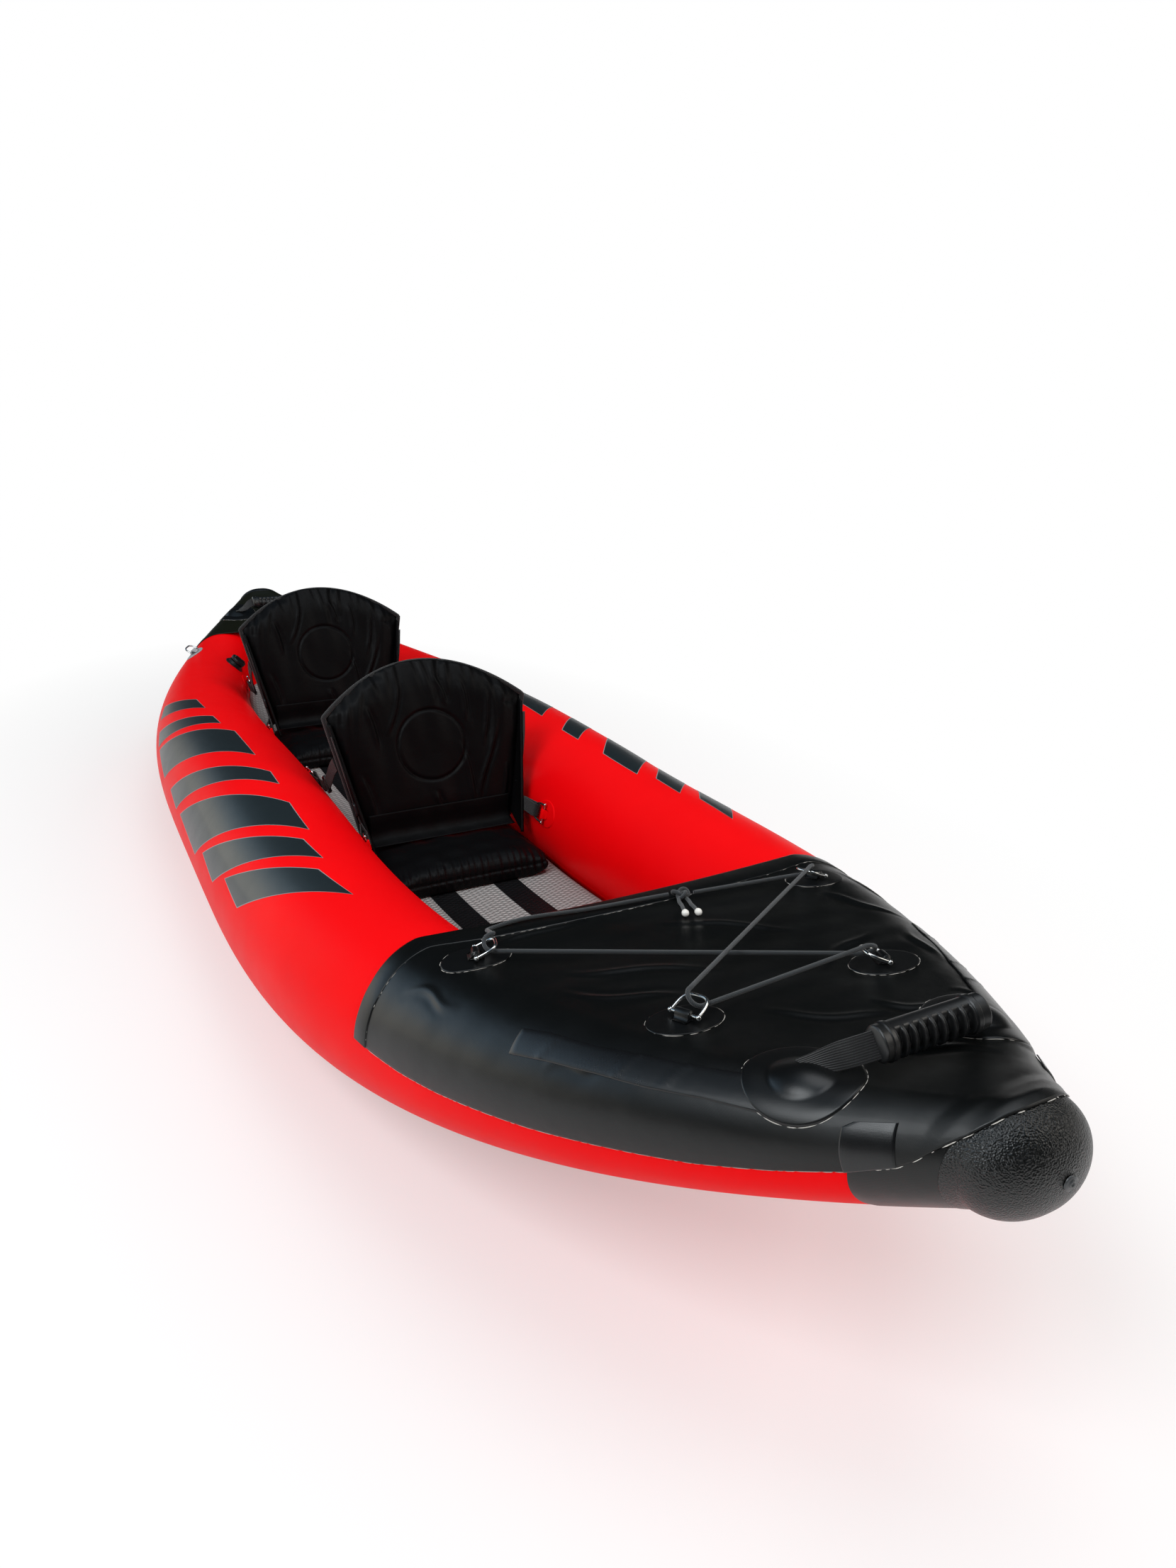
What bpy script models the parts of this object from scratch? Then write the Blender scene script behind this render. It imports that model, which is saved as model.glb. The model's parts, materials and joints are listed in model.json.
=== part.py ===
"""A two-seat inflatable kayak with black spray decks, padded seats and a bungee on the bow deck.

The boat lies along Y with its bow at -Y, its starboard side at -X and its flat bottom at Z = 0.
All lengths are in metres. A value whose name ends in share or shares is a fraction of the size it follows.
"""
import math

import bmesh
import bpy
import numpy as np
from mathutils import Matrix, Vector

# Hull lines
HALF_LENGTH = 1.467
HALF_BEAM = 0.45
TUBE_RADIUS = 0.1385
END_RADIUS = 0.047
END_HALF_WIDTH = 0.051
BOW_RISE = 0.312
STERN_RISE = 0.25
ROCKER_START_SHARE = 0.15
BOW_ROCKER_POWER = 1.86
STERN_ROCKER_POWER = 2.9
BOW_PLAN_POWER = 3.16
STERN_PLAN_POWER = 3.39
TAPER_POWER = 2.51
TAPER_SHARPNESS = 1.28
SLOPE_STEP_SHARE = 0.002

# Fits
CLEARANCE = 0.0003
OVERRUN = 0.02
MERGE_DISTANCE = 0.000001

# Hull skins
BOTTOM_SKIN = 0.0012
DECK_SKIN = 0.0016
CAP_WALL = 0.0035
BOW_DECK_LENGTH = 0.655
STERN_DECK_LENGTH = 0.262
CAP_OVERLAP = 0.015
BOTTOM_INSET = 0.157
GIRTH_SIDES = 24
DECK_DROP_SIDES = 7
DECK_SPAN_SIDES = 5
DOME_SHARES = (0.3, 0.6, 0.88)

# Inflatable floor
FLOOR_THICKNESS = 0.083
FLOOR_INSET = 0.347
FLOOR_EDGE_ROUND = 0.018
FLOOR_SIDE_GAP = 0.0008
FLOOR_END_WIDTH_SHARES = (0.62, 0.9)

# Valves
VALVE_INSET = 0.1
VALVE_ANGLE = math.radians(-45)
FLOOR_VALVE_INSET = 0.12
VALVE_FLANGE_RADIUS = 0.027
VALVE_FLANGE_THICKNESS = 0.0018
VALVE_COLLAR_RADIUS = 0.0195
VALVE_BACK_SHARES = (1.0, 0.7, 0.35, 0.0)
VALVE_COLLAR_HEIGHT = 0.0085
VALVE_CAP_RADIUS = 0.0205
VALVE_CAP_HEIGHT = 0.008
VALVE_GRIP_LENGTH = 0.03
VALVE_GRIP_WIDTH = 0.006
VALVE_GRIP_HEIGHT = 0.005

# D-rings and their tabs
WIRE_RADIUS = 0.002
RING_HALF_WIDTH = 0.017
RING_REACH = 0.026
RING_SQUARENESS = 3.5
RING_POINTS = 9
TAB_WIDTH = 0.018
TAB_RADIUS = 0.0058
TAB_HEIGHT = 0.0062
BORE_GAP = 0.0006
BORE_SIDES = 8
TAB_SIDES = 4
OVAL_SIDES = 14
PATCH_SIDES = 20
PLATE_SHARES = (0.6,)
TOW_RING_SCALE_SHARE = 0.8

# Deck ring patches
DECK_PATCH_LENGTH = 0.062
DECK_PATCH_WIDTH = 0.084
DECK_PATCH_THICKNESS = 0.0014
DECK_RING_INSETS = {"rear": 0.5605, "front": 0.2975}
DECK_RING_INBOARD = {"rear": 0.0117, "front": 0.0479}
DECK_RING_TURNS = {"rear": math.radians(-18), "front": math.radians(20)}
DECK_RING_TILT = math.radians(24)

# Bungee
BUNGEE_RADIUS = 0.0025
KNOT_X = 0.054
KNOT_INSET = 0.593
KNOT_UNIT = 0.0038
KNOT_RISE_SHARE = 0.9
KNOT_HEIGHT = 0.0075
KNOT_REACH = 0.017
KNOT_POINTS = 26
KNOT_OPENING = 0.36
TAIL_SHARES = ((1.2, -2.6, -0.9), (1.7, -5.0, -1.1), (1.6, -8.5, -0.9), (1.9, -12.0, -0.6), (2.1, -15.5, -0.5))
BEAD_SHARES = ((0.0, 2.2), (0.75, 1.8), (1.0, 1.1), (0.75, 0.3), (0.0, 0.0))
TAIL_TURN = math.radians(-20)
TURN_RADIUS = 0.011
TURN_SPREAD = 0.008
TURN_INSET = 0.0025
TURN_STEPS = 4
SLACK_HEIGHT = 0.004
SLACK_INSETS = (0.618, 0.632, 0.623)
SLACK_RUNS = (0.176, 0.0775, 0.0395)
CORD_STEP = 0.027
TURN_STEP = 0.0062
BEND_STEP = math.radians(2.5)
BEAD_RADIUS = 0.0048

# Carry handles
BOW_HANDLE_INSET = 0.1435
STERN_HANDLE_INSET = 0.122
HANDLE_PATCH_OUT = 0.004
HANDLE_PATCH_RADIUS = 0.054
HANDLE_PATCH_THICKNESS = 0.0016
PATCH_SINK = 0.0007
HANDLE_DOME_RADIUS = 0.031
HANDLE_DOME_HEIGHT = 0.0075
DOME_RING_SHARES = (0.0, 0.6)
PATCH_BACK_SHARES = (0.7, 0.35, 0.0)
WEBBING_WIDTH = 0.025
WEBBING_THICKNESS = 0.0022
ROOT_DEPTH = 0.0035
WEBBING_RISE_SHARES = ((0.0, 0.0), (0.28, 0.08), (0.56, 0.36), (0.78, 0.78))
ARCH_HEIGHT = 0.042
ARCH_SAG = 0.007
HANDLE_LEAN = math.radians(50)
GRIP_LENGTH = 0.124
GRIP_SHIFT = 0.008
GRIP_DEPTH = 0.0285
GRIP_BREADTH = 0.034
GRIP_RIBS = 8
GRIP_GROOVE = 0.0035
GRIP_COLLAR = 0.016
GRIP_SIDES = 10
GRIP_END_ROUND = 0.002
GRIP_FINGER_ANGLE = math.radians(-45)
BAND_GAP = 0.0004

# Tow rings
TOW_INSET = 0.367
TOW_ANGLE = math.radians(30)
TOW_PATCH_LENGTH = 0.062
TOW_PATCH_WIDTH = 0.046
TOW_RING_TILT = math.radians(50)

# Seat rings on the inner sides of the tubes
FORE_RING_Y = -0.2
AFT_RING_Y = 0.215
SEAT_RING_ANGLE = math.radians(-76)
SEAT_PAD_LENGTH = 0.07
SEAT_PAD_WIDTH = 0.052
SEAT_PAD_THICKNESS = 0.0016
SEAT_RING_TILT = math.radians(9)

# Seats
REAR_SEAT_INSET = 0.697
CUSHION_FRONT = -0.285
CUSHION_BACK = -0.025
CUSHION_SIDE_GAP = 0.007
CUSHION_HEIGHT = 0.05
CUSHION_EDGE_HEIGHT = 0.034
CUSHION_TOP_SHARES = (1.0, 0.72, 0.0)
CUSHION_FOOT_SHARE = 0.9
CUSHION_SHARES = (
    (0.0, 0.86, 0.45), (0.03, 0.95, 0.95), (0.14, 0.99, 1.06), (0.35, 1.0, 1.1),
    (0.6, 1.0, 1.04), (0.76, 0.99, 0.95), (0.9, 0.97, 0.72), (1.0, 0.92, 0.4),
)
HINGE_Y = -0.082
HINGE_RISE = 0.0515
BACK_LEAN = math.radians(17)
BACK_HEIGHT = 0.325
BACK_CORNER_HEIGHT = 0.235
BACK_BASE_GAP = 0.023
BACK_CORNER_OVERHANG = 0.027
BACK_THICKNESS = 0.036
BACK_RIM = 0.012
BACK_CUP = 0.03
BACK_COLUMNS = 12
BACK_ROWS = 10
PAD_CIRCLE_RADIUS = 0.067
PAD_CIRCLE_HEIGHT = 0.16
PAD_CHANNEL = 0.012
GUSSET_THICKNESS = 0.004
GUSSET_REACH = 0.078
GUSSET_TIP_GAP = 0.027
GUSSET_INSET = 0.008
GUSSET_DEPTH = 0.0075
GUSSET_DROP = 0.0095
GUSSET_FOOT = 0.02
GUSSET_TOP = 0.228
GUSSET_TOP_SHARE = 0.14
GUSSET_ROWS = 6

# Seat straps
STRAP_WIDTH = 0.025
STRAP_THICKNESS = 0.0024
STRAP_FOLD = 0.0056
STRAP_OVERLAP = 0.045
FORE_STRAP_SHARE = 0.9
AFT_STRAP_HEIGHT = 0.148
STRAP_INSET = 0.012
STRAP_SEAM = 0.03
FOLD_SHIFT = 0.002
FOLD_ANGLES = tuple(math.pi * k / 6 for k in range(7))

BOW_DECK_EDGE = HALF_LENGTH - BOW_DECK_LENGTH
STERN_DECK_EDGE = HALF_LENGTH - STERN_DECK_LENGTH
CAP_EDGE = HALF_LENGTH - CAP_OVERLAP
BOTTOM_END = HALF_LENGTH - BOTTOM_INSET
FLOOR_END = HALF_LENGTH - FLOOR_INSET
VALVE_Y = FLOOR_END - VALVE_INSET
FLOOR_VALVE_Y = FLOOR_END - FLOOR_VALVE_INSET
TOW_Y = HALF_LENGTH - TOW_INSET
KNOT_Y = KNOT_INSET - HALF_LENGTH
SEAT_SPACING = HALF_LENGTH - REAR_SEAT_INSET
SEAT_RING_Y = (FORE_RING_Y, AFT_RING_Y, SEAT_SPACING + FORE_RING_Y, SEAT_SPACING + AFT_RING_Y)
WELL_HALF_WIDTH = HALF_BEAM - 2 * TUBE_RADIUS
CUSHION_HALF_WIDTH = WELL_HALF_WIDTH - CUSHION_SIDE_GAP
BACK_BASE_HALF_WIDTH = WELL_HALF_WIDTH - BACK_BASE_GAP
BACK_CORNER_HALF_WIDTH = WELL_HALF_WIDTH + BACK_CORNER_OVERHANG
GUSSET_TIP_X = WELL_HALF_WIDTH - GUSSET_TIP_GAP
HULL_BOTTOM = BOTTOM_SKIN + CLEARANCE
FLAT_HALF = ROCKER_START_SHARE * HALF_LENGTH
FLOOR_TOP = HULL_BOTTOM + FLOOR_THICKNESS
DECK_SURFACE = CLEARANCE + DECK_SKIN
PORT = 1
STARBOARD = -1
BOW = -1
STERN = 1
HANDLE_Y = {BOW: BOW_HANDLE_INSET - HALF_LENGTH, STERN: HALF_LENGTH - STERN_HANDLE_INSET}


def end_share(y):
    """How far a place lies towards the end of the tubes, from 0 amidships to 1."""
    return min(1.0, abs(y) / HALF_LENGTH)


def rocker(y):
    """Rise of the bottom above its flat middle."""
    rise, power = (BOW_RISE, BOW_ROCKER_POWER) if y < 0 else (STERN_RISE, STERN_ROCKER_POWER)
    run = max(0.0, (end_share(y) - ROCKER_START_SHARE) / (1 - ROCKER_START_SHARE))
    return rise * run ** power


def tube_radius(y):
    """Radius of a side tube, which tapers towards both ends."""
    fullness = (1 - end_share(y) ** TAPER_POWER) ** TAPER_SHARPNESS
    return END_RADIUS + (TUBE_RADIUS - END_RADIUS) * fullness


def half_width(y):
    """Half of the hull's width."""
    power = BOW_PLAN_POWER if y < 0 else STERN_PLAN_POWER
    return END_HALF_WIDTH + (HALF_BEAM - END_HALF_WIDTH) * (1 - end_share(y) ** power)


def tube_centre(y):
    """Sideways place and height of a tube's centre line."""
    return half_width(y) - tube_radius(y), HULL_BOTTOM + tube_radius(y) + rocker(y)


def smooth_section(y):
    """Centre offset, centre height and radii of the upright cut through a tube."""
    inside = max(-HALF_LENGTH, min(HALF_LENGTH, y))
    step = SLOPE_STEP_SHARE * HALF_LENGTH
    before = max(-HALF_LENGTH, inside - step)
    after = min(HALF_LENGTH, inside + step)
    spread, climb = (
        (b - a) / (after - before) for a, b in zip(tube_centre(before), tube_centre(after))
    )
    beyond = max(0.0, abs(y) - HALF_LENGTH) / END_RADIUS
    closing = math.sqrt(max(0.0, 1 - beyond ** 2))
    offset, height = tube_centre(inside)
    radius = tube_radius(inside)
    wide = radius * math.hypot(1, spread) * closing
    tall = radius * math.hypot(1, climb) * closing
    return offset * closing, height, wide, tall


def run(start, end, count):
    """Evenly spaced places from start up to, but without, end."""
    return [start + (end - start) * k / count for k in range(count)]


def dome(sign):
    """Places beyond a tube's end where its round end is cut."""
    return [sign * (HALF_LENGTH + END_RADIUS * math.sin(share * math.pi / 2)) for share in DOME_SHARES]


STATIONS = (
    sorted(dome(BOW))
    + run(-HALF_LENGTH, -CAP_EDGE, 1)
    + run(-CAP_EDGE, -BOW_DECK_EDGE, 8)
    + run(-BOW_DECK_EDGE, -FLAT_HALF, 4)
    + run(-FLAT_HALF, FLAT_HALF, 2)
    + run(FLAT_HALF, STERN_DECK_EDGE, 6)
    + run(STERN_DECK_EDGE, CAP_EDGE, 5)
    + run(CAP_EDGE, HALF_LENGTH, 1)
    + [HALF_LENGTH]
    + dome(STERN)
)
SECTIONS = np.array([smooth_section(y) for y in STATIONS])


def section(y):
    """The tube's section between two stations, as straight there as the faceted tube."""
    return [float(np.interp(y, STATIONS, column)) for column in SECTIONS.T]


def girth_angle(index):
    """Angle from a tube's crest, outward, of one of its facet edges."""
    return 2 * math.pi * index / GIRTH_SIDES


def tube_point(side, angle, y):
    """A point on a tube, at an angle from its crest that grows outward and is negative inboard."""
    offset, height, wide, tall = section(y)
    return Vector((side * (offset + wide * math.sin(angle)), y, height + tall * math.cos(angle)))


def raised_tube_point(side, angle, y, lift):
    """A point that stands off the tube by lift."""
    _, _, wide, tall = section(y)
    normal = Vector((side * math.sin(angle) / wide, 0, math.cos(angle) / tall)).normalized()
    return tube_point(side, angle, y) + normal * lift


def deck_map(side, x, y):
    """Map of the deck round a place: outboard run and lengthwise run to a point on the hull."""
    def point_at(out, along):
        offset, height, wide, tall = section(y + along)
        arc = x + out - offset
        if arc <= 0:
            return Vector((side * (x + out), y + along, height + tall))
        return tube_point(side, arc / wide, y + along)
    return point_at


def tube_map(side, angle, y):
    """Map of a tube's skin round a place: outward run and lengthwise run to a point on it."""
    def point_at(out, along):
        _, _, wide, _ = section(y + along)
        return tube_point(side, angle + out / wide, y + along)
    return point_at


def surface_normal(point_at, out, along, side):
    """Outward normal of a mapped surface."""
    step = WIRE_RADIUS
    across = point_at(out + step, along) - point_at(out - step, along)
    lengthwise = point_at(out, along + step) - point_at(out, along - step)
    return (across.cross(lengthwise) * side).normalized()


def seat_frame(point_at, side, height, pull):
    """Frame on a mapped surface: Z is the surface normal and Y the pull direction."""
    normal = surface_normal(point_at, 0.0, 0.0, side)
    forward = (pull - normal * pull.dot(normal)).normalized()
    across = forward.cross(normal)
    frame = Matrix((across, forward, normal)).transposed().to_4x4()
    frame.translation = point_at(0.0, 0.0) + normal * height
    return frame


def deck_ring_place(row):
    """Sideways and lengthwise place of a row's deck rings."""
    y = DECK_RING_INSETS[row] - HALF_LENGTH
    return tube_centre(y)[0] - DECK_RING_INBOARD[row], y


def handle_patch_x(sign):
    """Sideways place of a handle's patches, over the outer part of the tubes."""
    return tube_centre(HANDLE_Y[sign])[0] + HANDLE_PATCH_OUT


def clear_scene():
    """Remove whatever the file holds."""
    for old in list(bpy.data.objects):
        bpy.data.objects.remove(old, do_unlink=True)


def new_collection(name):
    """Add a collection to the scene."""
    collection = bpy.data.collections.new(name)
    bpy.context.scene.collection.children.link(collection)
    return collection


def hex_colour(code):
    """Linear colour from an sRGB hex code."""
    channels = [int(code[k:k + 2], 16) / 255 for k in (0, 2, 4)]
    linear = [c / 12.92 if c <= 0.04045 else ((c + 0.055) / 1.055) ** 2.4 for c in channels]
    return (*linear, 1.0)


def material(name, code, roughness, metallic=0.0):
    """A Principled material of one colour."""
    made = bpy.data.materials.new(name)
    made.use_nodes = True
    shader = made.node_tree.nodes["Principled BSDF"]
    shader.inputs["Base Color"].default_value = hex_colour(code)
    shader.inputs["Roughness"].default_value = roughness
    shader.inputs["Metallic"].default_value = metallic
    return made


FINISHES = {
    "red_pvc": ("E10A0C", 0.3),
    "black_pvc": ("17181B", 0.32),
    "rubber": ("1B1B1C", 0.55),
    "floor_fabric": ("C9C9CB", 0.6),
    "nylon": ("15161A", 0.75),
    "webbing": ("121213", 0.85),
    "bungee": ("33383C", 0.7),
    "steel": ("C8C8C8", 0.2, 1.0),
    "grip": ("232426", 0.5),
    "grey_pvc": ("B9BABC", 0.4),
    "valve": ("2A2B2D", 0.45),
}


def dress(obj, finish):
    """Give a piece a material of its own."""
    obj.data.materials.clear()
    obj.data.materials.append(material(f"{obj.name}_{finish}", *FINISHES[finish]))


def link(obj, collection_name="inflatable_kayak"):
    """Put an object in one of the two collections."""
    bpy.data.collections[collection_name].objects.link(obj)
    return obj


def outward(mesh):
    """Turn every face of a closed mesh outward and merge doubled points."""
    work = bmesh.new()
    work.from_mesh(mesh)
    bmesh.ops.remove_doubles(work, verts=work.verts, dist=MERGE_DISTANCE)
    bmesh.ops.recalc_face_normals(work, faces=work.faces)
    work.to_mesh(mesh)
    work.free()


def piece(name, mesh, finish, matrix=None):
    """A part's object, shaded smooth on its round faces."""
    outward(mesh)
    obj = link(bpy.data.objects.new(name, mesh))
    if matrix is not None:
        obj.matrix_world = matrix
    mesh.shade_smooth()
    mesh.set_sharp_from_angle(angle=math.radians(35))
    dress(obj, finish)
    return obj


def cutter(name, mesh, matrix=None):
    """A helper object that only cuts or joins."""
    outward(mesh)
    obj = link(bpy.data.objects.new(name, mesh), "cutters")
    if matrix is not None:
        obj.matrix_world = matrix
    obj.hide_render = True
    obj.display_type = "WIRE"
    return obj


def combine(target, other, operation):
    """Add an exact Boolean modifier."""
    boolean = target.modifiers.new(f"{operation.lower()}_{other.name}", "BOOLEAN")
    boolean.operation = operation
    boolean.solver = "EXACT"
    boolean.object = other


def baked(obj):
    """The evaluated mesh of an object, which is then removed."""
    bpy.context.view_layer.update()
    graph = bpy.context.evaluated_depsgraph_get()
    mesh = bpy.data.meshes.new_from_object(obj.evaluated_get(graph))
    bpy.data.objects.remove(obj, do_unlink=True)
    return mesh


def loft(rings, closed_start=True, closed_end=True, loop=True):
    """A skin through rings of points, with flat ends where asked."""
    work = bmesh.new()
    rows = [[work.verts.new(point) for point in ring] for ring in rings]
    count = len(rows[0])
    for row, following in zip(rows, rows[1:]):
        for k in range(count if loop else count - 1):
            after = (k + 1) % count
            work.faces.new((row[k], row[after], following[after], following[k]))
    if closed_start:
        work.faces.new(rows[0])
    if closed_end:
        work.faces.new(rows[-1])
    mesh = bpy.data.meshes.new("loft")
    work.to_mesh(mesh)
    work.free()
    return mesh


def sheet(name, rows, thickness, finish, away, loop=False, closed_end=False):
    """A sheet of even thickness on the far side of rows of points, away from a place."""
    mesh = loft(rows, False, closed_end, loop)
    work = bmesh.new()
    work.from_mesh(mesh)
    bmesh.ops.recalc_face_normals(work, faces=work.faces)
    outness = [face.normal.dot(face.calc_center_median() - away) * face.calc_area() for face in work.faces]
    if sum(outness) < 0:
        bmesh.ops.reverse_faces(work, faces=work.faces)
    work.to_mesh(mesh)
    work.free()
    obj = link(bpy.data.objects.new(name, mesh))
    solidify = obj.modifiers.new("thickness", "SOLIDIFY")
    solidify.thickness = thickness
    solidify.offset = 1
    solidify.use_even_offset = True
    mesh.shade_smooth()
    dress(obj, finish)
    return obj


def turned(profile, steps):
    """A mesh turned round Z from a profile that runs down its outer side."""
    work = bmesh.new()
    points = [work.verts.new((radius, 0, height)) for radius, height in profile]
    for a, b in zip(points, points[1:]):
        work.edges.new((a, b))
    mesh = bpy.data.meshes.new("profile")
    work.to_mesh(mesh)
    work.free()
    obj = link(bpy.data.objects.new("profile", mesh), "cutters")
    screw = obj.modifiers.new("turn", "SCREW")
    screw.steps = steps
    screw.render_steps = steps
    screw.use_merge_vertices = True
    screw.merge_threshold = MERGE_DISTANCE
    result = baked(obj)
    outward(result)
    return result


def box(size, centre=Vector()):
    """A box mesh."""
    work = bmesh.new()
    bmesh.ops.create_cube(work, size=1)
    bmesh.ops.scale(work, vec=size, verts=work.verts)
    bmesh.ops.translate(work, vec=centre, verts=work.verts)
    mesh = bpy.data.meshes.new("box")
    work.to_mesh(mesh)
    work.free()
    return mesh


def rod(radius, length, sides, axis):
    """A cylinder mesh along one axis."""
    work = bmesh.new()
    bmesh.ops.create_cone(work, cap_ends=True, segments=sides, radius1=radius, radius2=radius, depth=length)
    turn = Vector((0, 0, 1)).rotation_difference(axis).to_matrix()
    bmesh.ops.rotate(work, cent=Vector(), matrix=turn, verts=work.verts)
    mesh = bpy.data.meshes.new("rod")
    work.to_mesh(mesh)
    work.free()
    return mesh


def wrap(mesh, point_at, side, lift):
    """Lay a flat mesh over a mapped surface: X runs outboard, Y lengthwise and Z outward."""
    for vertex in mesh.vertices:
        out, along, height = vertex.co
        normal = surface_normal(point_at, out, along, side)
        vertex.co = point_at(out, along) + normal * (height + lift)
    return mesh


def tube_object(name, points, radius, finish, resolution, cyclic=False, matrix=None):
    """A round cord or wire along points."""
    curve = bpy.data.curves.new(name, "CURVE")
    curve.dimensions = "3D"
    curve.bevel_depth = radius
    curve.bevel_resolution = resolution
    curve.use_fill_caps = not cyclic
    spline = curve.splines.new("POLY")
    spline.points.add(len(points) - 1)
    for slot, point in zip(spline.points, points):
        slot.co = (*point, 1)
    spline.use_cyclic_u = cyclic
    obj = link(bpy.data.objects.new(name, curve))
    if matrix is not None:
        obj.matrix_world = matrix
    dress(obj, finish)
    return obj


def smooth_path(points, per_span):
    """Points read from a smooth curve through the given ones, which may be unevenly spaced."""
    spans = [b - a for a, b in zip(points, points[1:])]
    slopes = [spans[0].normalized()]
    for a, b in zip(spans, spans[1:]):
        slopes.append((a / a.length * b.length + b / b.length * a.length) / (a.length + b.length))
    slopes.append(spans[-1].normalized())
    path = []
    for start, span, leave, arrive in zip(points, spans, slopes, slopes[1:]):
        for k in range(per_span):
            t = k / per_span
            bulge = (leave * (1 - t) - arrive * t) * span.length * t * (1 - t)
            path.append(start + span * t * t * (3 - 2 * t) + bulge)
    path.append(points[-1])
    return path


def triangulated(mesh):
    """Split the bent faces of a mesh so that a Boolean can cut it."""
    work = bmesh.new()
    work.from_mesh(mesh)
    bmesh.ops.triangulate(work, faces=work.faces, quad_method="FIXED")
    work.to_mesh(mesh)
    work.free()
    return mesh


def band(points, across, width, thickness):
    """A flat band along points, with its width along the across vectors."""
    rings = []
    for k, point in enumerate(points):
        before = points[max(0, k - 1)]
        after = points[min(len(points) - 1, k + 1)]
        heading = (after - before).normalized()
        side = (across[k] - heading * across[k].dot(heading)).normalized() * width / 2
        up = heading.cross(side).normalized() * thickness / 2
        rings.append([point - side - up, point + side - up, point + side + up, point - side + up])
    return triangulated(loft(rings))


def hull_ring(side, y):
    """Facet corners of a tube at one station."""
    return [tube_point(side, girth_angle(k), y) for k in range(GIRTH_SIDES)]


def seat_pad_place(side, y):
    """Map of the tube's skin where a seat ring sits."""
    return tube_map(side, SEAT_RING_ANGLE, y)


def strap_heading(index):
    """Lengthwise way from a seat ring to the backrest that it holds."""
    return Vector((0, 1 if index % 2 == 0 else -1, 0))


def oval_plate(length, width, thickness, sides, sink=0.0):
    """A thin oval plate with points inside its outline, so that it can be wrapped."""
    radius = width / 2
    top = [(0.0, thickness)] + [(radius * share, thickness) for share in PLATE_SHARES]
    rim = [(radius - thickness, thickness), (radius, thickness / 2), (radius, -sink)]
    below = [(radius * share, -sink) for share in reversed(PLATE_SHARES)] + [(0.0, -sink)]
    mesh = turned(top + rim + below, sides)
    mesh.transform(Matrix.Diagonal((1, length / width, 1, 1)))
    return mesh


def arch_tab(width, radius, height):
    """The raised saddle round a ring's bar: a block with a round back, along X."""
    outline = [(radius, -height), (radius, 0.0)]
    angles = [math.pi * k / TAB_SIDES for k in range(1, TAB_SIDES)]
    outline += [(radius * math.cos(angle), radius * math.sin(angle)) for angle in angles]
    outline += [(-radius, 0.0), (-radius, -height)]
    rings = [[Vector((x, a, b)) for a, b in outline] for x in (-width / 2, width / 2)]
    return loft(rings)


def add_ring_tab(target, frame, foot, label="tab", width_share=1.0):
    """Join a tab, foot deep below the bar, to a plate or tube and bore it for the ring's bar."""
    block = arch_tab(TAB_WIDTH * width_share, TAB_RADIUS, foot)
    combine(target, cutter(f"{target.name}_{label}", block, frame), "UNION")
    hole = rod(WIRE_RADIUS + BORE_GAP, TAB_WIDTH + OVERRUN, BORE_SIDES, Vector((1, 0, 0)))
    combine(target, cutter(f"{target.name}_{label}_bore", hole, frame), "DIFFERENCE")


def ring_points(scale, tilt):
    """A D-ring with its bar on X and its bow towards Y, raised by tilt."""
    half = RING_HALF_WIDTH * scale
    power = 2 / RING_SQUARENESS
    points = []
    for k in range(RING_POINTS):
        angle = math.pi * k / (RING_POINTS - 1)
        x = half * math.copysign(abs(math.cos(angle)) ** power, math.cos(angle))
        reach = RING_REACH * scale * math.sin(angle) ** power
        points.append(Vector((x, reach * math.cos(tilt), reach * math.sin(tilt))))
    return points


def d_ring(name, frame, tilt, scale=1.0):
    """A steel D-ring whose bar lies in its tab's bore."""
    return tube_object(name, ring_points(scale, tilt), WIRE_RADIUS, "steel", 1, True, frame)


def side_name(side):
    return "port" if side == PORT else "starboard"


def side_tube(side):
    """One air tube, cut at the middle plane, with the pads and tabs of its seat rings."""
    rings = [hull_ring(side, y) for y in STATIONS]
    tube = piece(f"{side_name(side)}_tube", loft(rings), "red_pvc")
    size = Vector((HALF_BEAM, 2 * (HALF_LENGTH + HALF_BEAM), 2 * (HALF_BEAM + BOW_RISE)))
    centre = Vector((-side * (HALF_BEAM - CLEARANCE) / 2, 0, 0))
    combine(tube, cutter(f"{side_name(side)}_half", box(size, centre)), "DIFFERENCE")
    for index, y in enumerate(SEAT_RING_Y):
        place = seat_pad_place(side, y)
        sink = 2 * SEAT_PAD_THICKNESS
        plate = oval_plate(SEAT_PAD_LENGTH, SEAT_PAD_WIDTH, SEAT_PAD_THICKNESS, OVAL_SIDES, sink)
        pad = cutter(f"{side_name(side)}_pad_{index + 1}", wrap(plate, place, side, 0.0))
        combine(tube, pad, "UNION")
        frame = seat_frame(place, side, TAB_HEIGHT, strap_heading(index))
        add_ring_tab(tube, frame, TAB_HEIGHT + SEAT_PAD_THICKNESS, f"tab_{index + 1}")
    return tube


def deck_row(y):
    """Points of a deck's inner face across the boat at one place along it."""
    row = []
    for side, indices in ((STARBOARD, range(DECK_DROP_SIDES, -1, -1)), (PORT, range(DECK_DROP_SIDES + 1))):
        if side == PORT:
            start, end = row[-1], raised_tube_point(PORT, 0.0, y, CLEARANCE)
            row += [start.lerp(end, k / DECK_SPAN_SIDES) for k in range(1, DECK_SPAN_SIDES)]
        row += [raised_tube_point(side, girth_angle(k), y, CLEARANCE) for k in indices]
    return row


def rows_between(start, end):
    """Both ends and every station between them."""
    return [start] + [y for y in STATIONS if start + CLEARANCE < y < end - CLEARANCE] + [end]


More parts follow.
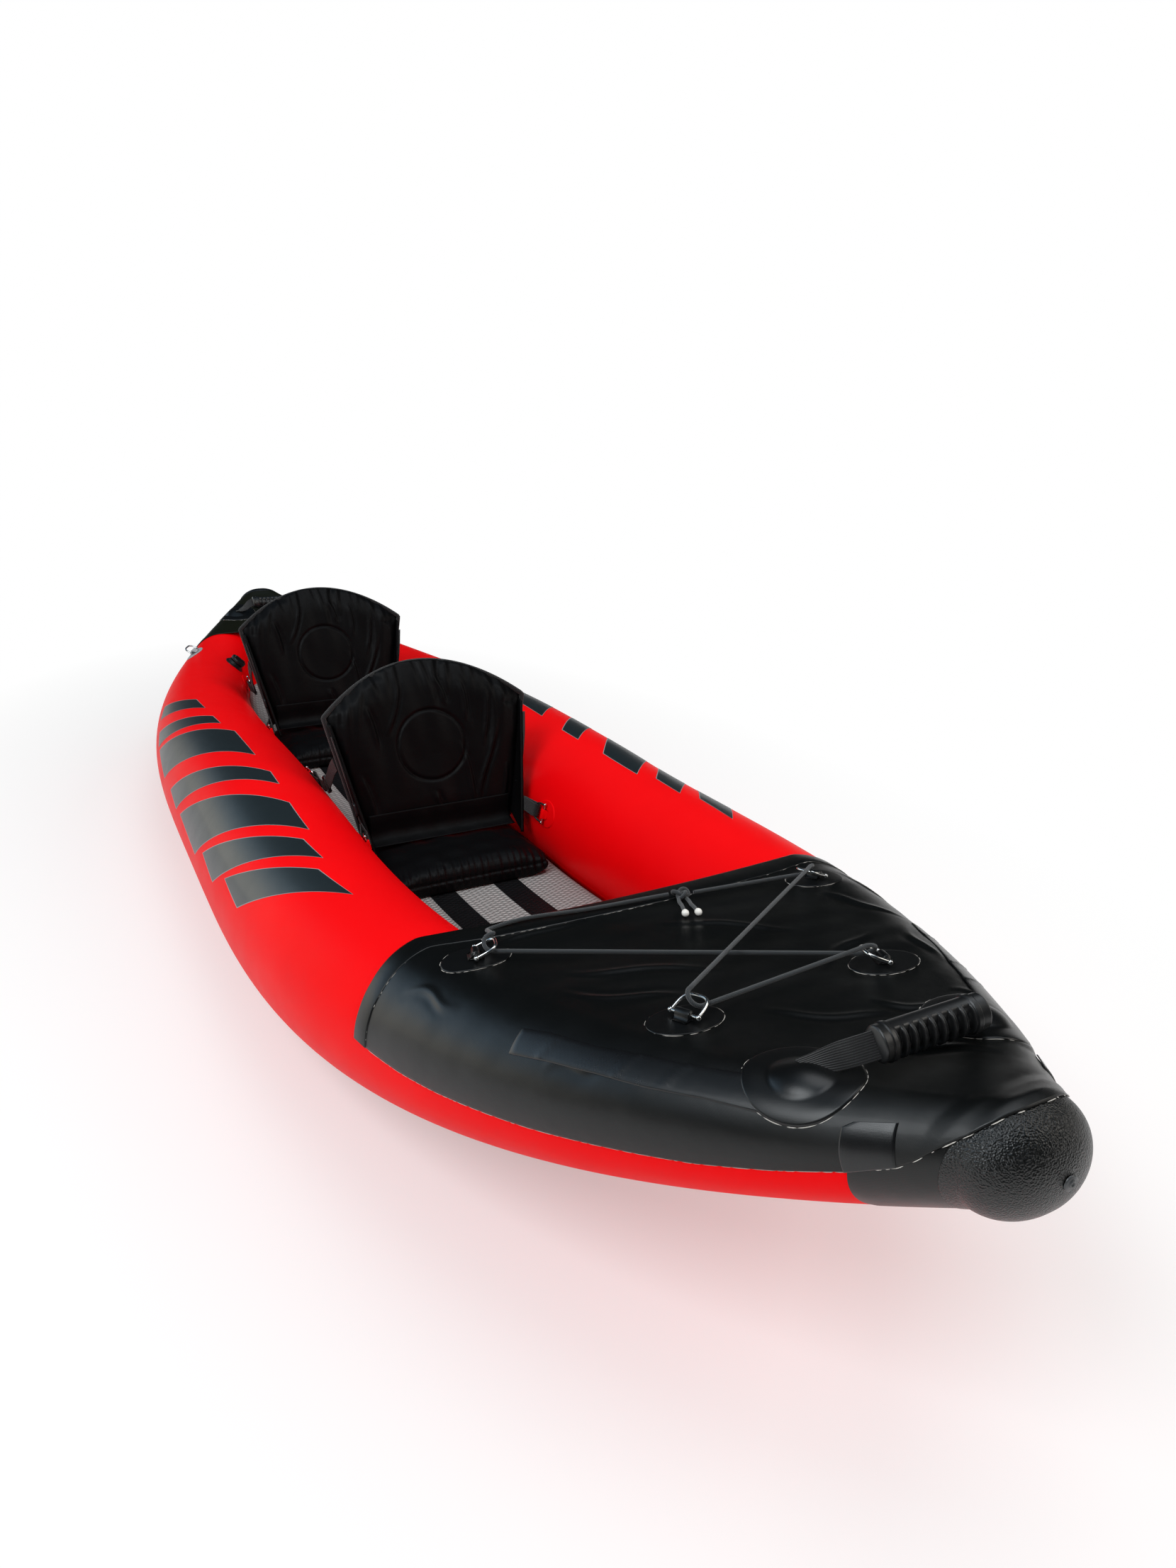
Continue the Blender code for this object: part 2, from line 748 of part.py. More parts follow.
def bow_deck():
    """The black spray deck over the bow, wrapped down the outer side of both tubes."""
    rows = [deck_row(y) for y in rows_between(-CAP_EDGE + CLEARANCE, -BOW_DECK_EDGE)]
    return sheet("bow_deck", rows, DECK_SKIN, "black_pvc", Vector((0, -CAP_EDGE, 0)))


def bottom_row(y):
    """Points of the bottom skin's upper face across the boat."""
    half = GIRTH_SIDES // 2
    row = [raised_tube_point(STARBOARD, girth_angle(half - k), y, CLEARANCE) for k in (1, 0)]
    end = raised_tube_point(PORT, girth_angle(half), y, CLEARANCE)
    row += [row[-1].lerp(end, 0.5), end]
    row.append(raised_tube_point(PORT, girth_angle(half - 1), y, CLEARANCE))
    return row


def bottom_skin():
    """The sheet under the floor that joins the two tubes."""
    rows = [bottom_row(y) for y in rows_between(-BOTTOM_END, BOTTOM_END)]
    return sheet("bottom_skin", rows, BOTTOM_SKIN, "red_pvc", Vector((0, 0, HALF_BEAM)))


def cap_ring(y, lift):
    """Outline round both tubes near an end of the boat."""
    half = GIRTH_SIDES // 2
    ring = [raised_tube_point(STARBOARD, girth_angle(k), y, lift) for k in range(half, -1, -1)]
    return ring + [raised_tube_point(PORT, girth_angle(k), y, lift) for k in range(half + 1)]


def end_cap(name, sign):
    """The moulded rubber cap over one end of the boat."""
    places = sorted([sign * CAP_EDGE] + [y for y in STATIONS if y * sign > CAP_EDGE + CLEARANCE], key=abs)
    rings = [cap_ring(y, CLEARANCE) for y in places]
    height = tube_centre(sign * HALF_LENGTH)[1]
    return sheet(name, rings, CAP_WALL, "rubber", Vector((0, 0, height)), True, True)


def floor_ring(y, width_share):
    """Section of the inflatable floor."""
    offset, height, wide, tall = section(y)
    drop = min(1.0, max(0.0, (tall - FLOOR_THICKNESS) / tall))
    side = (offset - wide * math.sqrt(1 - drop ** 2) - FLOOR_SIDE_GAP) * width_share
    bottom = height - tall
    inset = FLOOR_EDGE_ROUND / 3
    levels = (
        (side - FLOOR_EDGE_ROUND, 0.0), (side - inset, inset), (side, FLOOR_EDGE_ROUND),
        (side, FLOOR_THICKNESS - FLOOR_EDGE_ROUND), (side - inset, FLOOR_THICKNESS - inset),
        (side - FLOOR_EDGE_ROUND, FLOOR_THICKNESS),
    )
    right = [Vector((x, y, bottom + z)) for x, z in levels]
    return right + [Vector((-p.x, p.y, p.z)) for p in reversed(right)]


def floor_panel():
    """The high-pressure floor, a flat board between the tubes."""
    places = rows_between(-FLOOR_END, FLOOR_END)
    count = len(FLOOR_END_WIDTH_SHARES)
    rings = []
    for k, y in enumerate(places):
        from_end = min(k, len(places) - 1 - k)
        share = FLOOR_END_WIDTH_SHARES[from_end] if from_end < count else 1.0
        rings.append(floor_ring(y, share))
    return piece("floor_panel", loft(rings), "floor_fabric")


def valve(name, place, side, frame_pull):
    """A flush inflation valve: a welded flange with a collar, and its screw cap."""
    flange, collar = VALVE_FLANGE_RADIUS, VALVE_COLLAR_RADIUS
    profile = [
        (0.0, VALVE_COLLAR_HEIGHT), (collar, VALVE_COLLAR_HEIGHT), (collar, VALVE_FLANGE_THICKNESS),
        (flange, VALVE_FLANGE_THICKNESS), (flange, 0.0),
    ]
    profile += [(collar * share, 0.0) for share in VALVE_BACK_SHARES]
    chamfer = VALVE_FLANGE_THICKNESS
    base = wrap(turned(profile, OVAL_SIDES), place, side, 2 * CLEARANCE)
    piece(f"{name}_valve_base", base, "valve")
    frame = seat_frame(place, side, VALVE_COLLAR_HEIGHT + 3 * CLEARANCE, frame_pull)
    radius, height = VALVE_CAP_RADIUS, VALVE_CAP_HEIGHT
    cap_profile = [(0.0, height), (radius - chamfer, height), (radius, height - chamfer)]
    cap_profile += [(radius, 0.0), (0.0, 0.0)]
    cap = piece(f"{name}_valve_cap", turned(cap_profile, OVAL_SIDES), "valve", frame)
    size = Vector((VALVE_GRIP_LENGTH, VALVE_GRIP_WIDTH, 2 * VALVE_GRIP_HEIGHT))
    grip = box(size, Vector((0, 0, height)))
    combine(cap, cutter(f"{name}_valve_grip", grip, frame), "UNION")


def floor_map(x, y):
    """Map of the floor's top: sideways and lengthwise run to a point on it."""
    def point_at(out, along):
        _, height, _, tall = section(y + along)
        return Vector((x + out, y + along, height - tall + FLOOR_THICKNESS))
    return point_at


def valves():
    """One valve on the inner side of each tube and one on the floor, behind the rear seat."""
    ahead = Vector((0, -1, 0))
    for side in (STARBOARD, PORT):
        valve(f"{side_name(side)}_tube", tube_map(side, VALVE_ANGLE, VALVE_Y), side, ahead)
    valve("floor", floor_map(0.0, FLOOR_VALVE_Y), PORT, ahead)


def pull_vector(side, angle):
    """Way that the bungee pulls a ring: inboard, turned aft by angle."""
    return Vector((-side * math.cos(angle), math.sin(angle), 0))


def deck_rings():
    """Four D-rings on oval patches, two at the deck's aft edge and two further forward."""
    for row in DECK_RING_INSETS:
        x, y = deck_ring_place(row)
        for side in (STARBOARD, PORT):
            place = deck_map(side, x, y)
            plate = oval_plate(DECK_PATCH_LENGTH, DECK_PATCH_WIDTH, DECK_PATCH_THICKNESS, OVAL_SIDES)
            lift = DECK_SURFACE + 2 * CLEARANCE
            patch = piece(f"{row}_{side_name(side)}_deck_patch", wrap(plate, place, side, lift), "rubber")
            frame = deck_ring_frame(row, side)
            add_ring_tab(patch, frame, TAB_HEIGHT - DECK_PATCH_THICKNESS / 2)
            d_ring(f"{row}_{side_name(side)}_deck_ring", frame, DECK_RING_TILT)


def deck_ring_frame(row, side):
    """Frame of a deck ring: its bar on X and its pull on Y."""
    place = deck_map(side, *deck_ring_place(row))
    pull = pull_vector(side, DECK_RING_TURNS[row])
    return seat_frame(place, side, DECK_SURFACE + 2 * CLEARANCE + TAB_HEIGHT, pull)


def cord_turn(row, side, upper_first):
    """The cord's turn through a deck ring, from the strand above its bow to the one below or back."""
    frame = deck_ring_frame(row, side)
    wire = Vector((0, RING_REACH * math.cos(DECK_RING_TILT), RING_REACH * math.sin(DECK_RING_TILT)))
    centre = wire - Vector((0, TURN_INSET, 0))
    rise = math.sqrt(TURN_RADIUS ** 2 - TURN_SPREAD ** 2)
    above = Vector((-TURN_SPREAD, 0, rise))
    angles = [math.pi * k / TURN_STEPS for k in range(TURN_STEPS + 1)]
    inward = Vector((0, -TURN_RADIUS, 0))
    points = [frame @ (centre + above * math.cos(a) + inward * math.sin(a)) for a in angles]
    return points if upper_first else points[::-1]


def deck_place(x, y, height):
    """A point over the bow deck at a height above its skin."""
    side = PORT if x > 0 else STARBOARD
    place = deck_map(side, abs(x), y)
    return place(0.0, 0.0) + surface_normal(place, 0.0, 0.0, side) * (DECK_SURFACE + height)


def knot_frame():
    """Frame of the knot: on the deck, its tails towards -Y."""
    aft = Vector((-math.sin(TAIL_TURN), math.cos(TAIL_TURN), 0))
    return seat_frame(deck_map(PORT, KNOT_X, KNOT_Y), PORT, DECK_SURFACE + KNOT_HEIGHT, aft)


def knot_points():
    """An open overhand knot."""
    loop = []
    for k in range(KNOT_POINTS):
        t = KNOT_OPENING + (2 * math.pi - 2 * KNOT_OPENING) * k / (KNOT_POINTS - 1)
        x = math.sin(t) + 2 * math.sin(2 * t)
        y = math.cos(t) - 2 * math.cos(2 * t)
        loop.append(Vector((x, y, -KNOT_RISE_SHARE * math.sin(3 * t))) * KNOT_UNIT)
    return loop


def bungee():
    """The bungee cord laced through the four deck rings, its knot, tails and end beads."""
    frame = knot_frame()
    start = frame @ Vector((-KNOT_REACH, 0, 0))
    end = frame @ Vector((KNOT_REACH, 0, 0))
    ring_x = deck_ring_place("rear")[0]
    slack = [
        deck_place(run_in - ring_x, inset - HALF_LENGTH, SLACK_HEIGHT)
        for run_in, inset in zip(SLACK_RUNS, SLACK_INSETS)
    ]
    chosen = [start] + slack
    for row, side, upper_first in (
        ("rear", STARBOARD, True), ("front", PORT, False), ("front", STARBOARD, False), ("rear", PORT, True),
    ):
        turn = cord_turn(row, side, upper_first)
        chosen += straight_run(chosen[-1], turn[0]) + turn
    chosen += straight_run(chosen[-1], end) + [end]
    tube_object("bungee_cord", spaced(smooth_path(chosen, 12)), BUNGEE_RADIUS, "bungee", 2)
    first, last = tail_points(STARBOARD), tail_points(PORT)
    knot = first[::-1] + knot_points() + last
    tube_object("bungee_knot", knot, BUNGEE_RADIUS, "bungee", 1, False, frame)
    for side, tail in ((STARBOARD, first), (PORT, last)):
        way = (tail[-1] - tail[-2]).normalized()
        place = frame @ Matrix.Translation(tail[-1] + way * CLEARANCE)
        place = place @ Vector((0, 0, 1)).rotation_difference(way).to_matrix().to_4x4()
        radius = BEAD_RADIUS
        profile = [(radius * r, radius * h) for r, h in BEAD_SHARES]
        piece(f"{side_name(side)}_bead", turned(profile, BORE_SIDES), "grip", place)


def tail_points(side):
    """One loose end of the knot, lying on the deck."""
    return [Vector((x * side * KNOT_UNIT, y * KNOT_UNIT, z * KNOT_UNIT)) for x, y, z in TAIL_SHARES]


def straight_run(start, end):
    """Two points that keep the cord straight between two turns."""
    heading = (end - start).normalized() * CORD_STEP / 2
    return [start + heading, end - heading]


def spaced(points):
    """Points of a fine path, thinned to even steps that are shorter in its turns."""
    kept = [points[0]]
    for before, point, after in zip(points, points[1:], points[2:]):
        bend = (point - before).angle(after - point, 0.0)
        step = (point - kept[-1]).length
        if step > CORD_STEP or (bend > BEND_STEP and step > TURN_STEP):
            kept.append(point)
    return kept + [points[-1]]


def handle_patch_mesh(side, sign, lift):
    """The round patch under one end of a handle: a plate with a raised dome."""
    plate, rise, radius = HANDLE_PATCH_THICKNESS, HANDLE_DOME_HEIGHT, HANDLE_DOME_RADIUS
    profile = [(radius * share, plate + rise * math.cos(share * math.pi / 2)) for share in DOME_RING_SHARES]
    edge = HANDLE_PATCH_RADIUS
    profile += [(radius, plate), (edge, plate), (edge, 0.0)]
    profile += [(edge * share, 0.0) for share in PATCH_BACK_SHARES]
    place = deck_map(side, handle_patch_x(sign), HANDLE_Y[sign])
    return triangulated(wrap(turned(profile, PATCH_SIDES), place, side, lift))


def handle_root(side, sign):
    """Where a handle's webbing is held in the slit of its dome."""
    place = deck_map(side, handle_patch_x(sign), HANDLE_Y[sign])
    height = DECK_SURFACE + 2 * CLEARANCE + HANDLE_PATCH_THICKNESS + HANDLE_DOME_HEIGHT - ROOT_DEPTH
    return place(0.0, 0.0) + surface_normal(place, 0.0, 0.0, side) * height


def handle_frame(sign):
    """Frame of a handle: X runs through both roots and Z up the leaning arch."""
    starboard, port = handle_root(STARBOARD, sign), handle_root(PORT, sign)
    up = Vector((0, -math.sin(HANDLE_LEAN), math.cos(HANDLE_LEAN)))
    frame = Matrix((Vector((1, 0, 0)), up.cross(Vector((1, 0, 0))), up)).transposed().to_4x4()
    frame.translation = (starboard + port) / 2
    return frame


def grip_centre(x):
    """Centre line of the grip, which hangs a little between its ends."""
    share = (x - GRIP_SHIFT) / (GRIP_LENGTH / 2)
    return Vector((x, 0, ARCH_HEIGHT - ARCH_SAG * max(0.0, 1 - share ** 2)))


def webbing_path(sign):
    """Centre line and width directions of a handle's webbing, in the handle's frame."""
    root = handle_root(PORT, sign).x
    ends = [GRIP_SHIFT - GRIP_LENGTH / 2, GRIP_SHIFT + GRIP_LENGTH / 2]
    rise = [
        Vector((-root + (ends[0] + root) * along, 0, ARCH_HEIGHT * up)) for along, up in WEBBING_RISE_SHARES
    ]
    fall = [Vector((root + (ends[1] - root) * along, 0, ARCH_HEIGHT * up)) for along, up in WEBBING_RISE_SHARES]
    through = [grip_centre(ends[0] + (ends[1] - ends[0]) * k / 4) for k in range(5)]
    points = smooth_path(rise + through + fall[::-1], 2)
    flat = Vector((0, math.cos(HANDLE_LEAN), -math.sin(HANDLE_LEAN)))
    across = [flat.lerp(Vector((0, 1, 0)), min(1.0, p.z / (ARCH_HEIGHT * 2 / 3))) for p in points]
    return points, across


def webbing_slot(name, sign):
    """A cutter a little larger than a handle's webbing."""
    points, across = webbing_path(sign)
    first = points[0] + (points[0] - points[1]).normalized() * BAND_GAP
    last = points[-1] + (points[-1] - points[-2]).normalized() * BAND_GAP
    points = [first] + points[1:-1] + [last]
    mesh = band(points, across, WEBBING_WIDTH + 2 * BAND_GAP, WEBBING_THICKNESS + 2 * BAND_GAP)
    return cutter(name, mesh, handle_frame(sign))


def grip_ring(x, groove):
    """Section of the grip, hollowed on its finger side by the groove's depth."""
    centre = grip_centre(x)
    ring = []
    for k in range(GRIP_SIDES):
        angle = 2 * math.pi * k / GRIP_SIDES
        finger_side = max(0.0, math.cos(angle - GRIP_FINGER_ANGLE))
        trim = 1 - groove * min(1.0, 2 * finger_side) / (GRIP_DEPTH / 2)
        across = GRIP_BREADTH / 2 * math.sin(angle) * trim
        ring.append(centre + Vector((0, across, GRIP_DEPTH / 2 * math.cos(angle) * trim)))
    return ring


def carry_grip(name, sign):
    """The moulded rubber grip, with finger grooves between ribs and a slot for the webbing."""
    start = GRIP_SHIFT - GRIP_LENGTH / 2
    end = start + GRIP_LENGTH
    pitch = (GRIP_LENGTH - 2 * GRIP_COLLAR) / GRIP_RIBS
    rings = [grip_ring(start, GRIP_END_ROUND), grip_ring(start + GRIP_END_ROUND, 0.0)]
    rings.append(grip_ring(start + GRIP_COLLAR, 0.0))
    for k in range(GRIP_RIBS):
        x = start + GRIP_COLLAR + pitch * k
        rings.append(grip_ring(x + pitch / 2, GRIP_GROOVE))
        rings.append(grip_ring(x + pitch, 0.0))
    rings += [grip_ring(end - GRIP_END_ROUND, 0.0), grip_ring(end, GRIP_END_ROUND)]
    grip = piece(name, loft(rings), "grip", handle_frame(sign))
    combine(grip, webbing_slot(f"{name}_slot", sign), "DIFFERENCE")


def carry_handle(end_name, sign):
    """The webbing strap of a carry handle, held in two domes, and its moulded grip."""
    points, across = webbing_path(sign)
    strap_mesh = band(points, across, WEBBING_WIDTH, WEBBING_THICKNESS)
    piece(f"{end_name}_handle_webbing", strap_mesh, "webbing", handle_frame(sign))
    carry_grip(f"{end_name}_handle_grip", sign)


def bow_handle_patches():
    """Two round patches on the bow deck, each with a slit dome that holds the webbing."""
    for side in (STARBOARD, PORT):
        name = f"bow_{side_name(side)}_handle_patch"
        patch = piece(name, handle_patch_mesh(side, BOW, DECK_SURFACE + 4 * CLEARANCE), "rubber")
        combine(patch, webbing_slot(f"{name}_slit", BOW), "DIFFERENCE")


def stern_deck():
    """The spray deck over the stern, with the patches of its handle moulded on."""
    rows = [deck_row(y) for y in rows_between(STERN_DECK_EDGE, CAP_EDGE - CLEARANCE)]
    deck = sheet("stern_deck", rows, DECK_SKIN, "black_pvc", Vector((0, CAP_EDGE, 0)))
    for side in (STARBOARD, PORT):
        patch = handle_patch_mesh(side, STERN, DECK_SURFACE - PATCH_SINK)
        combine(deck, cutter(f"stern_{side_name(side)}_handle_patch", patch), "UNION")
    combine(deck, webbing_slot("stern_handle_patch_slit", STERN), "DIFFERENCE")


def tow_rings():
    """A towing ring on a grey patch at each side of the stern."""
    scale = TOW_RING_SCALE_SHARE
    for side in (STARBOARD, PORT):
        place = tube_map(side, TOW_ANGLE, TOW_Y)
        plate = oval_plate(TOW_PATCH_LENGTH, TOW_PATCH_WIDTH, DECK_PATCH_THICKNESS, OVAL_SIDES)
        name = f"{side_name(side)}_tow"
        patch = piece(f"{name}_patch", wrap(plate, place, side, 2 * CLEARANCE), "grey_pvc")
        frame = seat_frame(place, side, 2 * CLEARANCE + TAB_HEIGHT, Vector((side, 1, 0)))
        add_ring_tab(patch, frame, TAB_HEIGHT - DECK_PATCH_THICKNESS / 2, "tab", scale)
        d_ring(f"{name}_ring", frame, TOW_RING_TILT, scale)


def floor_height(y):
    """Height of the floor's top."""
    _, height, _, tall = section(y)
    return height - tall + FLOOR_THICKNESS


def cushion(name, shift):
    """A padded seat base: crowned on top, drawn in at its sides and thin under the backrest."""
    rings = []
    for share, width_share, height_share in CUSHION_SHARES:
        y = CUSHION_FRONT + (CUSHION_BACK - CUSHION_FRONT) * share + shift
        half = CUSHION_HALF_WIDTH * width_share
        edge, crown = CUSHION_EDGE_HEIGHT * height_share, CUSHION_HEIGHT * height_share
        base = floor_height(y) + CLEARANCE
        upper = [(half * x, edge + (crown - edge) * (1 - x * x)) for x in CUSHION_TOP_SHARES]
        right = [(0.0, 0.0), (half * CUSHION_FOOT_SHARE, 0.0), (half, edge / 3)] + upper
        ring = [Vector((x, y, base + z)) for x, z in right]
        ring += [Vector((-x, y, base + z)) for x, z in reversed(right[1:-1])]
        rings.append(ring)
    made = piece(name, loft(rings), "nylon")
    subdivide(made, 1)
    return made


def subdivide(obj, levels):
    """Smooth a coarse cage."""
    smooth = obj.modifiers.new("smooth", "SUBSURF")
    smooth.levels = levels
    smooth.render_levels = levels


def back_half_width(height):
    """Half of the backrest's width at a height up its slope."""
    return BACK_BASE_HALF_WIDTH + (BACK_CORNER_HALF_WIDTH - BACK_BASE_HALF_WIDTH) * min(
        1.0, height / BACK_CORNER_HEIGHT
    )


def back_point(across, up, depth):
    """A point of the backrest in its hinge's frame: across from -1 to 1, up from 0 to 1, depth forward."""
    top = BACK_CORNER_HEIGHT + (BACK_HEIGHT - BACK_CORNER_HEIGHT) * (1 - across ** 2)
    height = up * top
    cup = BACK_CUP * across ** 2 * height / BACK_CORNER_HEIGHT
    forward = cup + depth
    lean_y, lean_z = math.sin(BACK_LEAN), math.cos(BACK_LEAN)
    x = across * back_half_width(height)
    return Vector((x, height * lean_y - forward * lean_z, height * lean_z + forward * lean_y))


def back_padding(across, up):
    """Thickness of the backrest's padding as a share of the fullest, with its stitched circle."""
    point = back_point(across, up, 0.0)
    rise = point.z / math.cos(BACK_LEAN)
    edge = min(1.0, 3 * (1 - abs(across)), 4 * up, 4 * (1 - up))
    full = BACK_RIM + (BACK_THICKNESS - BACK_RIM) * math.sin(edge * math.pi / 2)
    distance = math.hypot(point.x, rise - PAD_CIRCLE_HEIGHT)
    near_seam = max(0.0, 1 - abs(distance - PAD_CIRCLE_RADIUS) / PAD_CHANNEL)
    return (full - PAD_CHANNEL * near_seam / 2) / BACK_THICKNESS


def backrest(name, shift):
    """The padded backrest, arched on top, cupped and hinged at its foot."""
    columns = [2 * k / BACK_COLUMNS - 1 for k in range(BACK_COLUMNS + 1)]
    levels = [k / BACK_ROWS for k in range(BACK_ROWS + 1)]
    mesh = loft([[back_point(x, up, -BACK_RIM) for x in columns] for up in levels], False, False, False)
    obj = link(bpy.data.objects.new(name, mesh))
    obj.location = hinge_place(shift)
    group = obj.vertex_groups.new(name="padding")
    index = 0
    for up in levels:
        for x in columns:
            group.add([index], back_padding(x, up), "REPLACE")
            index += 1
    solidify = obj.modifiers.new("padding", "SOLIDIFY")
    solidify.thickness = BACK_THICKNESS
    solidify.offset = -1 if mesh.polygons[0].normal.y > 0 else 1
    solidify.vertex_group = "padding"
    solidify.thickness_vertex_group = 0.0
    mesh.shade_smooth()
    dress(obj, "nylon")
    return obj


def hinge_place(shift):
    """The sewn hinge between a cushion and its backrest."""
    y = HINGE_Y + shift
    return Vector((0, y, floor_height(y) + HINGE_RISE))


def rim_point(side, height, out, depth):
    """A point beside the backrest's rim, in its hinge's frame."""
    return back_point(side, height / BACK_CORNER_HEIGHT, depth) + Vector((side * out, 0, 0))


def wing_corners(side):
    """The three corners of a side wing's middle plane, in the hinge's frame: foot, top and front tip."""
    foot = rim_point(side, GUSSET_FOOT, -GUSSET_INSET, GUSSET_DEPTH)
    top = rim_point(side, GUSSET_TOP, -GUSSET_INSET, GUSSET_DEPTH)
    tip = Vector((side * GUSSET_TIP_X, -GUSSET_REACH, -GUSSET_DROP))
    return foot, top, tip


def outboard(normal, side):
    """The same direction, or its opposite, so that it points outboard."""
    return normal if normal.x * side > 0 else -normal


def placed(name, mesh, finish, shift):
    """A piece modelled in its seat's hinge frame."""
    return piece(name, mesh, finish, Matrix.Translation(hinge_place(shift)))


def gusset(name, side, shift):
    """The fabric side wing between a backrest and its cushion."""
    foot, top, tip = wing_corners(side)
    half = outboard((top - foot).cross(tip - foot).normalized(), side) * GUSSET_THICKNESS / 2
    rings = []
    for k in range(GUSSET_ROWS + 1):
        rear = foot.lerp(top, k / GUSSET_ROWS)
        front = tip.lerp(top + (tip - foot) * GUSSET_TOP_SHARE, k / GUSSET_ROWS)
        rings.append([rear - half, front - half, front + half, rear + half])
    return placed(name, loft(rings), "nylon", shift)


def strap_end(side, index):
    """Centre and outboard normal of a strap's sewn end, in the hinge's frame."""
    if index % 2 == 0:
        foot, top, tip = wing_corners(side)
        normal = outboard((top - foot).cross(tip - foot).normalized(), side)
        place = foot.lerp(top, FORE_STRAP_SHARE) + (tip - foot).normalized() * STRAP_INSET
        return place + normal * (GUSSET_THICKNESS / 2 + CLEARANCE + STRAP_THICKNESS / 2), normal
    place = rim_point(side, AFT_STRAP_HEIGHT, 2 * CLEARANCE + STRAP_THICKNESS / 2, -BACK_RIM / 4)
    rise = rim_point(side, BACK_CORNER_HEIGHT, 0.0, -BACK_RIM) - rim_point(side, 0.0, 0.0, -BACK_RIM)
    return place, outboard(rise.cross(Vector((0, 1, 0))).normalized(), side)


def strap(name, side, shift, index):
    """A webbing strap from a backrest's side, folded round its ring and back on itself."""
    hinge = hinge_place(shift)
    frame = seat_frame(seat_pad_place(side, SEAT_RING_Y[index]), side, TAB_HEIGHT, strap_heading(index))
    frame.translation -= hinge
    reach = RING_REACH - FOLD_SHIFT
    tip = frame @ Vector((0, reach * math.cos(SEAT_RING_TILT), reach * math.sin(SEAT_RING_TILT)))
    end, normal = strap_end(side, index)
    bar = frame.to_3x3() @ Vector((1, 0, 0))
    heading = end - tip
    heading = (heading - bar * heading.dot(bar)).normalized()
    off = bar.cross(heading)
    if off.x * side < 0:
        off = -off
    fold = [tip + (off * math.cos(a) - heading * math.sin(a)) * STRAP_FOLD for a in FOLD_ANGLES]
    lay = STRAP_THICKNESS / 2 + CLEARANCE
    back = tip + heading * STRAP_OVERLAP
    half_back = tip.lerp(back, 1 / 2)
    middle = (lay + STRAP_FOLD) / 2
    points = [back + off * lay, half_back + off * middle] + fold
    points += [half_back - off * middle, back - off * lay]
    seam = end - points[-1]
    seam = (seam - normal * seam.dot(normal)).normalized()
    across = [bar] * len(points)
    sewn = seam.cross(normal)
    if sewn.dot(bar) < 0:
        sewn = -sewn
    points += [end - seam * STRAP_SEAM, end]
    across += [sewn, sewn]
    return placed(name, band(points, across, STRAP_WIDTH, STRAP_THICKNESS), "webbing", shift)


def seats():
    """Two seats, each a cushion, a backrest, two side wings and four straps to rings on the tubes."""
    for seat, shift in (("front", 0.0), ("rear", SEAT_SPACING)):
        cushion(f"{seat}_cushion", shift)
        backrest(f"{seat}_backrest", shift)
        first = 0 if seat == "front" else 2
        for side in (STARBOARD, PORT):
            gusset(f"{seat}_{side_name(side)}_gusset", side, shift)
            for index in (first, first + 1):
                way = "fore" if index % 2 == 0 else "aft"
                strap(f"{seat}_{side_name(side)}_{way}_strap", side, shift, index)


def seat_rings():
    """The D-rings on the tubes' inner sides that hold the seats' straps."""
    for side in (STARBOARD, PORT):
        for index, y in enumerate(SEAT_RING_Y):
            frame = seat_frame(seat_pad_place(side, y), side, TAB_HEIGHT, strap_heading(index))
            d_ring(f"{side_name(side)}_seat_ring_{index + 1}", frame, SEAT_RING_TILT)


def main():
    clear_scene()
    new_collection("inflatable_kayak")
    new_collection("cutters")
    for side in (STARBOARD, PORT):
        side_tube(side)
    bow_deck()
    bottom_skin()
    end_cap("bow_cap", BOW)
    end_cap("stern_cap", STERN)
    floor_panel()
    stern_deck()
    bow_handle_patches()
    valves()
    deck_rings()
    bungee()
    carry_handle("bow", BOW)
    carry_handle("stern", STERN)
    tow_rings()
    seats()
    seat_rings()


if __name__ == "__main__":
    main()
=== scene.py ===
"""Looks of a two-seat inflatable kayak, built over its CAD frame.

The boat lies along Y with its bow at -Y and its starboard side at -X. All lengths are in metres.
"""
import json
import math

import bmesh
import bpy
import numpy as np
from bpy.props import FloatProperty, FloatVectorProperty, PointerProperty
from mathutils import Matrix, Vector


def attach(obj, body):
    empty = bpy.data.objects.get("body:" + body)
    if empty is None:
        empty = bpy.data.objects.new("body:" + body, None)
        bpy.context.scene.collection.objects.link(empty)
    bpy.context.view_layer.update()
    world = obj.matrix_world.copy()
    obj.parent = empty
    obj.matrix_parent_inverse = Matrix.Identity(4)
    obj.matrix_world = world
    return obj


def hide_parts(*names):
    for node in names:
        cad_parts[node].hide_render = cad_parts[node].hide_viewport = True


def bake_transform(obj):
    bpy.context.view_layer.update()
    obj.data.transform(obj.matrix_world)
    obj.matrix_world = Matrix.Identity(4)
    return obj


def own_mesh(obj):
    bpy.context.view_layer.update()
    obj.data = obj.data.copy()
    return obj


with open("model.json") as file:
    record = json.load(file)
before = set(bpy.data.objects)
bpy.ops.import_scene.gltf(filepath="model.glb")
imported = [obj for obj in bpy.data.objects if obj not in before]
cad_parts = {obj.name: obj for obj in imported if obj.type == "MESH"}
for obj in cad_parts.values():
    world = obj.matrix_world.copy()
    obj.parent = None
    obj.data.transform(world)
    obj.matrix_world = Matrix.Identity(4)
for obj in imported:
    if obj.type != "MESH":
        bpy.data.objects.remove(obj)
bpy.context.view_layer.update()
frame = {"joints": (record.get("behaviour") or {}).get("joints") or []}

bl_info = {
    "name": "Inflatable Kayak",
    "version": (1, 0, 0),
    "blender": (4, 5, 0),
    "location": "View3D > Sidebar > Kayak",
    "description": "Builds a two-seat inflatable kayak piece by piece",
    "category": "Add Mesh",
}

PORT = 1
STARBOARD = -1
SIDES = (STARBOARD, PORT)
DOUBLED = 0.00001
SKIN = 0.0009
SEATS = (("front", 0.0), ("rear", 0.77))


